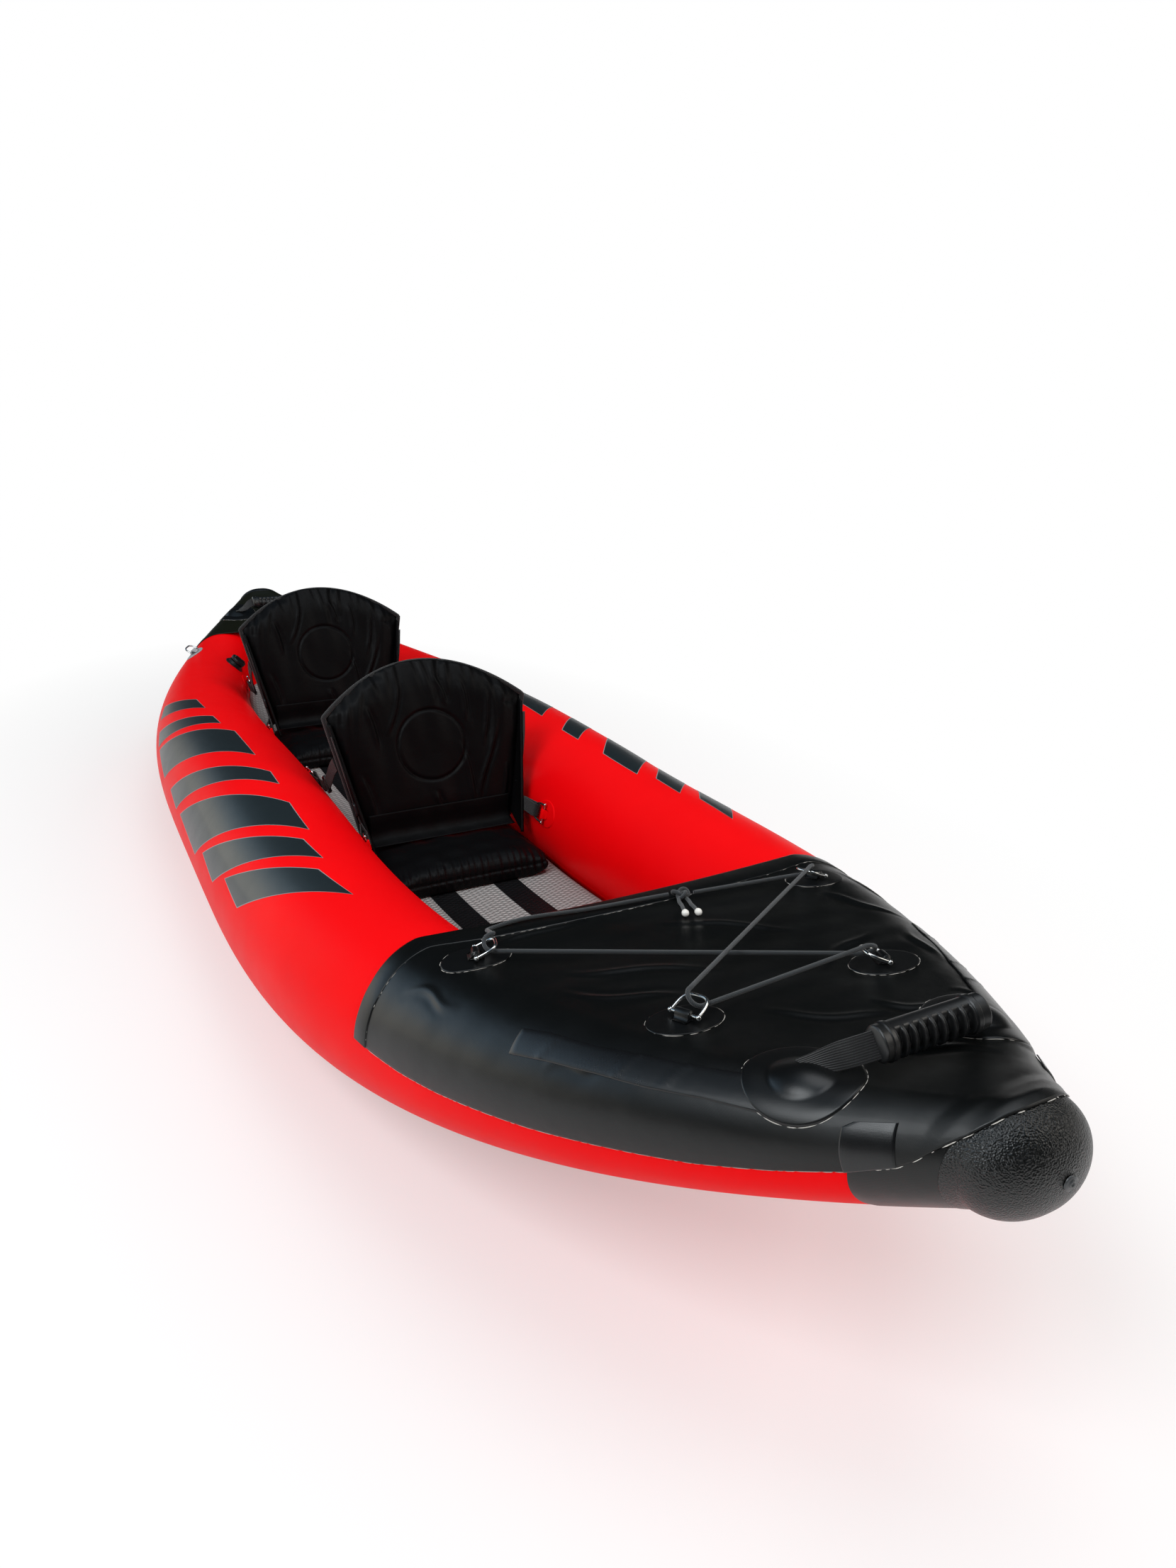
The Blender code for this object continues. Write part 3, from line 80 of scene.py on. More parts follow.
def side_name(side):
    """Name of a side."""
    return "port" if side == PORT else "starboard"


def linear(code):
    """Linear colour from an sRGB hex code."""
    channels = [int(code[k:k + 2], 16) / 255 for k in (0, 2, 4)]
    return tuple(c / 12.92 if c <= 0.04045 else ((c + 0.055) / 1.055) ** 2.4 for c in channels) + (1.0,)


def length(name, text, default):
    """A length property."""
    return FloatProperty(name=name, description=text, default=default, min=0.0, precision=5, unit="LENGTH")


def share(name, text, default):
    """A plain number property."""
    return FloatProperty(name=name, description=text, default=default, precision=4)


def paint(name, text, code):
    """A colour property."""
    return FloatVectorProperty(
        name=name, description=text, default=linear(code), size=4, min=0.0, max=1.0, subtype="COLOR"
    )


class KayakHull(bpy.types.PropertyGroup):
    """Lines of the hull."""

    half_length: length("Half length", "From amidships to the tubes' ends", 1.467)
    half_beam: length("Half beam", "Half of the widest width", 0.45)
    tube_radius: length("Tube radius", "Radius of an air tube amidships", 0.1385)
    end_radius: length("End radius", "Radius of an air tube at its ends", 0.047)
    end_half_width: length("End half width", "Half of the hull's width at its ends", 0.051)
    bow_rise: length("Bow rise", "Rise of the bottom at the bow", 0.312)
    stern_rise: length("Stern rise", "Rise of the bottom at the stern", 0.25)
    rocker_start: share("Rocker start", "Share of the half length that lies flat", 0.15)
    bow_rocker: share("Bow rocker", "Power of the bow's rise", 1.86)
    stern_rocker: share("Stern rocker", "Power of the stern's rise", 2.9)
    bow_plan: share("Bow plan", "Power of the bow's outline", 3.16)
    stern_plan: share("Stern plan", "Power of the stern's outline", 3.39)
    taper_power: share("Taper power", "Power of the tubes' taper", 2.51)
    taper_sharpness: share("Taper sharpness", "Sharpness of the tubes' taper", 1.28)
    base: length("Bottom skin", "Height of the tubes above the ground", 0.0015)
    floor_thickness: length("Floor thickness", "Thickness of the inflatable floor", 0.083)
    bow_edge: length("Bow deck edge", "From amidships to the bow deck's hem", 0.812)
    stern_edge: length("Stern deck edge", "From amidships to the stern deck's hem", 1.205)
    cap_edge: length("Cap edge", "From amidships to the end caps", 1.457)


class KayakColours(bpy.types.PropertyGroup):
    """Colours of the kayak."""

    red: paint("Red fabric", "PVC-coated fabric of the tubes", "F0040B")
    black: paint("Black fabric", "PVC-coated fabric of the decks", "040505")
    print: paint("Printed panels", "Ink of the panels on the tubes", "1E272B")
    outline: paint("Print outline", "Thin outline of the printed panels", "8C8F92")
    floor: paint("Floor fabric", "Drop-stitch fabric of the floor", "9E9E9D")
    nylon: paint("Seat fabric", "Coated nylon of the seats", "050506")
    webbing: paint("Webbing", "Woven webbing", "0A0A0B")
    steel: paint("Steel", "Polished stainless steel", "D0D0CE")
    grey: paint("Grey fabric", "Light PVC patches", "A9AAAD")


class Hull:
    """The tubes' lines as functions of the place along the boat."""

    def __init__(self, sizes):
        """Take over every value of the panel's hull sizes."""
        for name in KayakHull.__annotations__:
            setattr(self, name, getattr(sizes, name))

    def centre(self, y):
        """Offset and height of a tube's centre line, and its radius."""
        end = np.minimum(1.0, np.abs(y) / self.half_length)
        bow = y < 0
        run = np.maximum(0.0, (end - self.rocker_start) / (1 - self.rocker_start))
        rise = np.where(bow, self.bow_rise, self.stern_rise)
        rocker = rise * run ** np.where(bow, self.bow_rocker, self.stern_rocker)
        fullness = (1 - end ** self.taper_power) ** self.taper_sharpness
        radius = self.end_radius + (self.tube_radius - self.end_radius) * fullness
        plan = 1 - end ** np.where(bow, self.bow_plan, self.stern_plan)
        half = self.end_half_width + (self.half_beam - self.end_half_width) * plan
        return half - radius, self.base + radius + rocker, radius

    def section(self, y):
        """Offset, height and radii of the upright cut through a tube."""
        y = np.asarray(y, float)
        limit = self.half_length
        inside = np.clip(y, -limit, limit)
        step = 0.002 * limit
        before = np.clip(inside - step, -limit, limit)
        after = np.clip(inside + step, -limit, limit)
        (o0, h0, _), (o1, h1, _) = self.centre(before), self.centre(after)
        offset, height, radius = self.centre(inside)
        beyond = np.maximum(0.0, np.abs(y) - limit) / self.end_radius
        closing = np.sqrt(np.maximum(0.0, 1 - beyond ** 2))
        wide = radius * np.hypot(1, (o1 - o0) / (after - before)) * closing
        tall = radius * np.hypot(1, (h1 - h0) / (after - before)) * closing
        return offset * closing, height, wide, tall

    def on_tube(self, side, angle, y, lift=0.0):
        """Points on a tube at angles from its crest, positive outboard, raised by lift."""
        y = np.asarray(y, float)
        offset, height, wide, tall = self.section(y)
        safe_wide, safe_tall = np.maximum(wide, 1e-6), np.maximum(tall, 1e-6)
        nx, nz = np.sin(angle) / safe_wide, np.cos(angle) / safe_tall
        size = np.hypot(nx, nz)
        x = side * (offset + wide * np.sin(angle) + nx / size * lift)
        z = height + tall * np.cos(angle) + nz / size * lift
        return np.stack(np.broadcast_arrays(x, y, z), -1)

    def on_deck(self, x, y, lift=0.0):
        """Points over the decks: level between the crests, wrapped round the tubes outside them."""
        x, y = np.asarray(x, float), np.asarray(y, float)
        offset, height, wide, tall = self.section(y)
        arc = np.abs(x) - offset
        angle = np.maximum(arc, 0.0) / wide
        nx, nz = np.sin(angle) / wide, np.cos(angle) / tall
        size = np.hypot(nx, nz)
        out = np.where(arc > 0, offset + wide * np.sin(angle), np.abs(x)) + nx / size * lift
        up = height + np.where(arc > 0, tall * np.cos(angle), tall) + nz / size * lift
        return np.stack(np.broadcast_arrays(np.sign(x) * out, y, up), -1)

    def on_floor(self, x, y, lift=0.0):
        """Points over the floor."""
        y = np.asarray(y, float)
        _, height, _, tall = self.section(y)
        return np.stack(np.broadcast_arrays(x, y, height - tall + self.floor_thickness + lift), -1)

    def floor_half_width(self, y):
        """Half width of the floor between the tubes."""
        offset, _, wide, tall = self.section(y)
        drop = np.clip((tall - self.floor_thickness) / tall, 0.0, 1.0)
        return offset - wide * np.sqrt(1 - drop ** 2) - 0.0008


def hull():
    """The hull's lines from the scene's sizes."""
    return Hull(bpy.context.scene.kayak_hull)


def deck_place(side, x, y):
    """Map of a deck round a place, from outward run, lengthwise run and height to points."""
    lines = hull()
    return lambda out, along, lift: lines.on_deck(side * (x + out), y + along, lift)


def tube_place(side, angle, y):
    """Map of a tube round a place, from outward run, lengthwise run and height to points."""
    lines = hull()
    wide = lines.section(y)[2]
    return lambda out, along, lift: lines.on_tube(side, angle + out / wide, y + along, lift)


def place_frame(place, side, height, pull):
    """Frame on a mapped surface: Z is its normal and Y the pull direction."""
    step = 0.002
    across = Vector(place(step, 0.0, 0.0) - place(-step, 0.0, 0.0))
    lengthwise = Vector(place(0.0, step, 0.0) - place(0.0, -step, 0.0))
    normal = (across.cross(lengthwise) * side).normalized()
    forward = (pull - normal * pull.dot(normal)).normalized()
    return frame_of(forward.cross(normal), forward, normal, Vector(place(0.0, 0.0, 0.0)) + normal * height)


def joint_named(name):
    """A joint of the CAD."""
    return next(joint for joint in frame["joints"] if joint["name"] == name)


def joint_place(name):
    """Where a joint of the CAD stands."""
    return Vector(joint_named(name)["pos_m"])


def frame_of(x, y, z, place):
    """A frame from its three directions and its place."""
    made = Matrix((x, y, z)).transposed().to_4x4()
    made.translation = place
    return made


def on_joint(name, guide):
    """Frame on a joint of the CAD: X is its axis, and Z the nearest direction to the guide's Z."""
    joint = joint_named(name)
    across = Vector(joint["axis"]).normalized()
    forward = guide.to_3x3().col[2].cross(across).normalized()
    return frame_of(across, forward, across.cross(forward), joint_place(name))


def moved(points, matrix):
    """Points carried by a matrix."""
    turn = np.array(matrix.to_3x3())
    return np.asarray(points, float) @ turn.T + np.array(matrix.translation)


def squared(value, power):
    """A sine or cosine pressed outward, which turns a circle into a rounded square."""
    return np.sign(value) * np.abs(value) ** power


def bell(offset, width):
    """A smooth bump of height 1."""
    return np.exp(-(offset / width) ** 2)


def distances(path):
    """Distance of each point of a path from its start."""
    return np.concatenate([[0.0], np.cumsum(np.linalg.norm(np.diff(path, axis=0), axis=1))])


def read_off(marks, run, rows):
    """Rows of a table read at marks between the places of its rows."""
    return np.stack([np.interp(marks, run, column) for column in np.asarray(rows).T], -1)


def add_object(name, data):
    """A new object in the scene."""
    made = bpy.data.objects.new(name, data)
    bpy.context.scene.collection.objects.link(made)
    return made


def metres(points, around):
    """Texture coordinates in metres over a grid of points."""
    if around:
        points = np.concatenate([points, points[:, :1]], 1)
    across = np.linalg.norm(np.diff(points, axis=1), axis=2).mean(0)
    along = np.linalg.norm(np.diff(points, axis=0), axis=2).mean(1)
    u = np.concatenate([[0.0], np.cumsum(across)])
    v = np.concatenate([[0.0], np.cumsum(along)])
    return np.stack(np.meshgrid(v, u, indexing="ij")[::-1], -1)


def surface(name, points, around=False, start=False, end=False, away=None):
    """A smooth mesh through a grid of points, closed round its columns and at its ends where asked.

    Its faces turn away from a given place.
    """
    points = np.asarray(points, float)
    rows, columns = points.shape[:2]
    uv = metres(points, around)
    spans = columns if around else columns - 1
    row, column = np.meshgrid(np.arange(rows - 1), np.arange(spans), indexing="ij")
    after, here, below = (column + 1) % columns, row * columns, (row + 1) * columns
    faces = np.stack([here + column, here + after, below + after, below + column], -1).reshape(-1, 4)
    near, far = (uv[row, column], uv[row, column + 1]), (uv[row + 1, column + 1], uv[row + 1, column])
    corners = np.stack([*near, *far], 2).reshape(-1, 2)
    flat = points.reshape(-1, 3)
    if away is not None:
        quads = flat[faces]
        normals = np.cross(quads[:, 2] - quads[:, 0], quads[:, 3] - quads[:, 1])
        if np.sum(normals * (quads.mean(1) - np.asarray(away, float))) < 0:
            faces = faces[:, ::-1]
            corners = corners.reshape(-1, 4, 2)[:, ::-1].reshape(-1, 2)
    lists = faces.tolist()
    if start:
        lists.append(list(range(columns)))
    if end:
        lists.append(list(range((rows - 1) * columns, rows * columns)))
    mesh = bpy.data.meshes.new(name)
    mesh.from_pydata(flat.tolist(), [], lists)
    layer = mesh.uv_layers.new(name="UVMap")
    values = np.zeros((len(mesh.loops), 2))
    values[:len(corners)] = corners
    layer.data.foreach_set("uv", values.ravel())
    mesh.shade_smooth()
    return add_object(name, mesh)


def reworked(made, change):
    """Change an object's mesh by a bmesh operation."""
    work = bmesh.new()
    work.from_mesh(made.data)
    change(work)
    work.to_mesh(made.data)
    work.free()
    return made


def outward(made):
    """Turn the faces of a closed mesh outward."""
    return reworked(made, lambda work: bmesh.ops.recalc_face_normals(work, faces=work.faces))


def weld(made):
    """Merge doubled points."""
    return reworked(made, lambda work: bmesh.ops.remove_doubles(work, verts=work.verts, dist=DOUBLED))


def joined(name, pieces):
    """Several objects as one."""
    work = bmesh.new()
    for made in pieces:
        work.from_mesh(made.data)
    mesh = bpy.data.meshes.new(name)
    for made in pieces:
        bpy.data.objects.remove(made, do_unlink=True)
    work.to_mesh(mesh)
    work.free()
    mesh.shade_smooth()
    return add_object(name, mesh)


def thicken(made, thickness, offset=-1.0):
    """Give a skin its thickness."""
    solidify = made.modifiers.new("thickness", "SOLIDIFY")
    solidify.thickness = thickness
    solidify.offset = offset
    solidify.use_even_offset = True
    return made


def circle(radius, sides):
    """Points of a round section."""
    turns = np.arange(sides) * 2 * math.pi / sides
    return np.stack([np.cos(turns), np.sin(turns)], -1) * radius


def flat_section(width, thickness, sides=28, edge=0.0):
    """Points of a flat woven section with round edges that may be a little thicker."""
    turns = np.arange(sides) * 2 * math.pi / sides
    x = squared(np.cos(turns), 0.5) * width / 2
    z = squared(np.sin(turns), 0.4) * thickness / 2
    return np.stack([x, z * (1 + edge * (np.abs(2 * x / width) > 0.8))], -1)


def frames_along(path, across=None, closed=False):
    """Side and up directions along a path."""
    path = np.asarray(path, float)
    if closed:
        ahead, behind = np.roll(path, -1, 0), np.roll(path, 1, 0)
    else:
        ahead, behind = np.vstack([path[1:], path[-1:]]), np.vstack([path[:1], path[:-1]])
    heading = ahead - behind
    heading /= np.linalg.norm(heading, axis=1)[:, None]
    if across is None:
        guide = np.array([0.0, 0.0, 1.0]) if abs(heading[0, 2]) < 0.9 else np.array([1.0, 0.0, 0.0])
        across = []
        for way in heading:
            guide = guide - way * guide.dot(way)
            guide /= np.linalg.norm(guide)
            across.append(guide)
        across = np.array(across)
    side = across - heading * np.sum(across * heading, 1)[:, None]
    side /= np.linalg.norm(side, axis=1)[:, None]
    return side, np.cross(heading, side)


def sweep(name, path, section, across=None, closed=False, scale=None):
    """A section carried along a path."""
    path = np.asarray(path, float)
    side, up = frames_along(path, across, closed)
    factor = np.ones(len(path)) if scale is None else np.asarray(scale, float)
    points = path[:, None] + factor[:, None, None] * (
        side[:, None] * section[None, :, :1] + up[:, None] * section[None, :, 1:]
    )
    if closed:
        points = np.concatenate([points, points[:1]], 0)
    made = surface(name, points, True, not closed, not closed)
    if closed:
        weld(made)
    return outward(made)


def turned(profile, steps, aspect=1.0):
    """Grid of points turned round Z from a profile of radius and height."""
    turns = np.arange(steps) * 2 * math.pi / steps
    profile = np.asarray(profile, float)
    x = profile[:, :1] * np.cos(turns)
    y = profile[:, :1] * np.sin(turns) * aspect
    return np.stack([x, y, np.broadcast_to(profile[:, 1:], x.shape)], -1)


def laid(points, place, lift=0.0):
    """Flat points laid over a mapped surface."""
    points = np.asarray(points, float)
    return place(points[..., 0], points[..., 1], points[..., 2] + lift)


def spline(points, step):
    """Evenly spaced points on a smooth curve through the given ones."""
    points = np.asarray(points, float)
    spans = np.diff(points, axis=0)
    sizes = np.linalg.norm(spans, axis=1)
    slopes = [spans[0] / sizes[0]]
    for a, b, la, lb in zip(spans, spans[1:], sizes, sizes[1:]):
        slopes.append((a / la * lb + b / lb * la) / (la + lb))
    slopes.append(spans[-1] / sizes[-1])
    fine = []
    for start, span, size, leave, arrive in zip(points, spans, sizes, slopes, slopes[1:]):
        t = np.linspace(0, 1, 40, endpoint=False)[:, None]
        fine.append(start + span * t * t * (3 - 2 * t) + (leave * (1 - t) - arrive * t) * size * t * (1 - t))
    fine = np.vstack(fine + [points[-1:]])
    return even(fine, step)


def even(path, step):
    """A path's points at even steps."""
    run = distances(path)
    marks = np.linspace(0, run[-1], max(2, int(round(run[-1] / step)) + 1))
    return read_off(marks, run, path)


def ripples(u, v, wavelength, seed):
    """Soft irregular waves over two coordinates, from about -1 to 1."""
    rng = np.random.default_rng(seed)
    count = 7
    total = np.zeros(np.broadcast(u, v).shape)
    for _ in range(count):
        angle, phase = rng.uniform(0, 2 * math.pi, 2)
        size = wavelength * rng.uniform(0.7, 1.6)
        total += np.sin((u * math.cos(angle) + v * math.sin(angle)) * 2 * math.pi / size + phase)
    return total / math.sqrt(count) / 1.6


def beside_line(u, v, line):
    """Run along a straight line, offset from it, and its length."""
    u0, v0, u1, v1 = line
    run = np.array([u1 - u0, v1 - v0])
    size = np.hypot(*run)
    along = ((u - u0) * run[0] + (v - v0) * run[1]) / size
    return along, ((u - u0) * run[1] - (v - v0) * run[0]) / size, size


def dashes(name, path, up, width, seed, fullness):
    """Broken beads of dried glue along a path that lies on a surface with the given normals."""
    rng = np.random.default_rng(seed)
    run = distances(path)
    pieces = []
    at = rng.uniform(0, 0.01)
    while at < run[-1] - 0.004:
        size = rng.uniform(0.002, 0.016) * fullness / 0.6
        marks = np.linspace(at, min(run[-1], at + size), 6)
        line = read_off(marks, run, path)
        rise = read_off(marks, run, up)
        line += np.cross(rise, np.gradient(line, axis=0)) / 0.003 * rng.uniform(-1, 1) * 0.0003
        swell = np.array([0.1, 0.75, 1.0, 0.8, 0.95, 0.1]) * rng.uniform(0.5, 1.1)
        side = np.cross(rise, np.gradient(line, axis=0))
        pieces.append(sweep("dash", line, circle(0.5, 6) * [width, width * 0.5], side, scale=swell))
        at += size + rng.exponential(0.006) * (1 - fullness) / 0.4
    return joined(name, pieces)


def dress(made, kind, body, nodes=()):
    """Give a piece its kind of surface, its body, the CAD nodes that it stands for and their slot."""
    made.data.materials.clear()
    made.data.materials.append(finish(kind))
    if body:
        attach(made, body)
    if nodes:
        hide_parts(*nodes)
    return made


# Materials


def add_node(tree, kind, settings=None, inputs=None):
    """Add a node: settings are its properties, and inputs are values or sockets to link."""
    node = tree.nodes.new(kind)
    for name, value in (settings or {}).items():
        setattr(node, name, value)
    for name, value in (inputs or {}).items():
        if isinstance(value, bpy.types.NodeSocket):
            tree.links.new(value, node.inputs[name])
        else:
            node.inputs[name].default_value = value
    return node


def made_once(build):
    """Keep the first material that a function builds under a name."""
    def wrapped(name, *values, **settings):
        """The material of that name, built if it is missing."""
        if name not in bpy.data.materials:
            build(name, *values, **settings)
        return bpy.data.materials[name]
    return wrapped


def new_tree(name, settings):
    """Node tree of a new material, with values on its Principled shader."""
    made = bpy.data.materials.new(name)
    made.use_nodes = True
    for key, value in settings.items():
        made.node_tree.nodes["Principled BSDF"].inputs[key].default_value = value
    return made.node_tree


def feed(tree, colour=None, roughness=None, normal=None):
    """Link a colour, a roughness and a normal to the Principled shader."""
    shader = tree.nodes["Principled BSDF"]
    for key, socket in (("Base Color", colour), ("Roughness", roughness), ("Normal", normal)):
        if socket is not None:
            tree.links.new(socket, shader.inputs[key])


def coordinates(tree, source="UV"):
    """Texture coordinates in metres."""
    return add_node(tree, "ShaderNodeTexCoord").outputs[source]


def calculated(tree, operation, *values):
    """Result of a Math node."""
    return add_node(tree, "ShaderNodeMath", {"operation": operation}, dict(enumerate(values))).outputs[0]


def noise(tree, vector, scale, detail=3.0, stretch=None):
    """A noise factor."""
    if stretch is not None:
        vector = add_node(tree, "ShaderNodeMapping", inputs={"Vector": vector, "Scale": stretch}).outputs[0]
    inputs = {"Vector": vector, "Scale": scale, "Detail": detail, "Roughness": 0.55}
    return add_node(tree, "ShaderNodeTexNoise", inputs=inputs).outputs["Fac"]


def wave(tree, vector, pitch, direction, distortion=0.0):
    """Straight ribs of a pitch in metres along X or Y."""
    settings = {"wave_type": "BANDS", "bands_direction": direction, "wave_profile": "SIN"}
    inputs = {"Vector": vector, "Scale": math.pi / (10 * pitch), "Distortion": distortion}
    return add_node(tree, "ShaderNodeTexWave", settings, inputs).outputs["Fac"]


def plain_weave(tree, pitch):
    """Threads of a plain weave."""
    uv = coordinates(tree)
    return calculated(tree, "MULTIPLY", wave(tree, uv, pitch, "X"), wave(tree, uv, pitch, "Y"))


def crossed(tree, degrees, pitch):
    """Two sets of ribs that cross on the slant."""
    uv = coordinates(tree)
    ribs = []
    for turn in (degrees, -degrees):
        inputs = {"Vector": uv, "Rotation": (0, 0, math.radians(turn))}
        ribs.append(wave(tree, add_node(tree, "ShaderNodeMapping", inputs=inputs).outputs[0], pitch, "X"))
    return ribs


def ranged(tree, value, low, high, source_low=0.0, source_high=1.0):
    """A factor mapped to a range."""
    inputs = {"Value": value, "From Min": source_low, "From Max": source_high, "To Min": low, "To Max": high}
    return add_node(tree, "ShaderNodeMapRange", inputs=inputs).outputs["Result"]


def tinted(tree, factor, first, second):
    """A colour between two by a factor."""
    node = add_node(tree, "ShaderNodeMix", {"data_type": "RGBA"}, {"Factor": factor, 6: first, 7: second})
    return node.outputs[2]


def mottled(tree, factor, colour, dark, light):
    """A colour that turns darker and lighter by a factor."""
    first, second = (tuple(min(1.0, c * share) for c in colour[:3]) + (1.0,) for share in (dark, light))
    return tinted(tree, factor, first, second)


def bump(tree, height, distance, normal=None):
    """A bump of a depth in metres, over another one."""
    inputs = {"Height": height, "Distance": distance, "Strength": 1.0}
    if normal is not None:
        inputs["Normal"] = normal
    return add_node(tree, "ShaderNodeBump", inputs=inputs).outputs["Normal"]


@made_once
def coated_fabric(name, colour, roughness=0.3, weave=0.00005, wrinkles=0.0006, coat=0.1, gloss=0.3):
    """PVC on polyester cloth: a gloss film through which the threads just show, with soft wrinkles."""
    film = {"Coat Weight": coat, "Coat Roughness": 0.14, "Coat IOR": 1.5}
    tree = new_tree(name, {"IOR": 1.53, "Specular IOR Level": gloss, **film})
    place = coordinates(tree, "Object")
    folds = bump(tree, noise(tree, place, 9.0), wrinkles)
    fine = bump(tree, noise(tree, place, 55.0, 3.0, (1.0, 0.45, 1.0)), wrinkles * 0.16, folds)
    feed(
        tree, mottled(tree, noise(tree, place, 3.0), colour, 0.88, 1.1),
        ranged(tree, noise(tree, place, 14.0, 5.0), roughness * 0.8, roughness * 1.25),
        bump(tree, plain_weave(tree, 0.0011), weave, fine),
    )


@made_once
def moulded_rubber(name, colour, roughness=0.5, grain=0.0004, grain_size=900.0, gloss=0.3):
    """Moulded rubber with a grained surface that breaks up its highlights."""
    tree = new_tree(name, {"IOR": 1.52, "Specular IOR Level": gloss})
    place = coordinates(tree, "Object")
    marks = noise(tree, place, 25.0, 5.0)
    inputs = {"Vector": place, "Scale": grain_size, "Smoothness": 0.6}
    cells = add_node(tree, "ShaderNodeTexVoronoi", {"feature": "SMOOTH_F1"}, inputs).outputs["Distance"]
    feed(
        tree, mottled(tree, marks, colour, 0.8, 1.25),
        ranged(tree, marks, roughness * 0.85, roughness * 1.15), bump(tree, cells, grain),
    )


@made_once
def woven(name, colour, pitch=0.0008, depth=0.00012, roughness=0.5, folds=0.0009):
    """Coated nylon cloth: a fine plain weave with small creases."""
    tree = new_tree(name, {"IOR": 1.53, "Specular IOR Level": 0.11})
    place = coordinates(tree, "Object")
    patches = noise(tree, place, 12.0, 4.0)
    creases = bump(tree, noise(tree, place, 38.0, 4.0), folds)
    feed(
        tree, mottled(tree, patches, colour, 0.8, 1.35),
        ranged(tree, patches, roughness * 0.9, roughness * 1.1),
        bump(tree, plain_weave(tree, pitch), depth, creases),
    )


@made_once
def ribbed_webbing(name, colour):
    """Woven polyester webbing: lengthwise ribs crossed by fine picks."""
    tree = new_tree(name, {"IOR": 1.53, "Specular IOR Level": 0.3, "Sheen Weight": 0.15, "Roughness": 0.8})
    uv = coordinates(tree)
    ribs, picks = wave(tree, uv, 0.0022, "X"), wave(tree, uv, 0.0009, "Y", 1.5)
    both = calculated(tree, "MULTIPLY_ADD", ribs, picks, ribs)
    # Painted highlight and shade: the colour turns lighter on the picks' crests and darker between them.
    feed(tree, mottled(tree, picks, colour, 0.5, 4.5), None, bump(tree, both, 0.0006))


@made_once
def braid(name, colour, crest_highlight):
    """Braided polyester sheath over rubber: two sets of strands that cross on the slant."""
    tree = new_tree(name, {"IOR": 1.53, "Sheen Weight": 0.3, "Roughness": 0.6})
    right, left = crossed(tree, 38, 0.0016)
    strands = calculated(tree, "MAXIMUM", right, left)
    # Painted highlight: the crests of one set of strands turn to a lighter colour.
    thread = tinted(tree, ranged(tree, right, 0.0, 1.0, 0.55, 0.95), colour, crest_highlight)
    feed(tree, thread, None, bump(tree, strands, 0.0004))


@made_once
def polished_steel(name, colour):
    """Polished stainless steel wire with faint drawing marks."""
    tree = new_tree(name, {"Base Color": colour, "Metallic": 1.0, "IOR": 2.5})
    marks = noise(tree, coordinates(tree, "Object"), 400.0, 4.0)
    feed(tree, None, ranged(tree, marks, 0.1, 0.28), bump(tree, marks, 0.00004))


@made_once
def drop_stitch(name, colour):
    """Drop-stitch fabric: PVC embossed with slanted diamonds, drawn at 9 mm as 5 mm ones wouldn't show."""
    tree = new_tree(name, {"IOR": 1.53, "Specular IOR Level": 0.25})
    diamonds = calculated(tree, "MINIMUM", *crossed(tree, 62, 0.009))
    # Painted shade in the embossed grooves and a lighter colour on the raised diamonds.
    feed(
        tree, mottled(tree, ranged(tree, diamonds, 1.0, 0.0, 0.05, 0.45), colour, 1.15, 0.45),
        ranged(tree, noise(tree, coordinates(tree, "Object"), 30.0), 0.42, 0.62),
        bump(tree, diamonds, 0.0007),
    )


@made_once
def dried_glue(name, colour, pale):
    """Dried contact glue squeezed out of a seam: whitish, waxy and a little see-through."""
    waxy = {"Subsurface Weight": 0.3, "Subsurface Radius": (0.001, 0.001, 0.001)}
    tree = new_tree(name, {"Roughness": 0.45, "IOR": 1.5, **waxy})
    marks = noise(tree, coordinates(tree, "Object"), 300.0)
    feed(tree, tinted(tree, marks, colour, pale), None, bump(tree, marks, 0.0002))


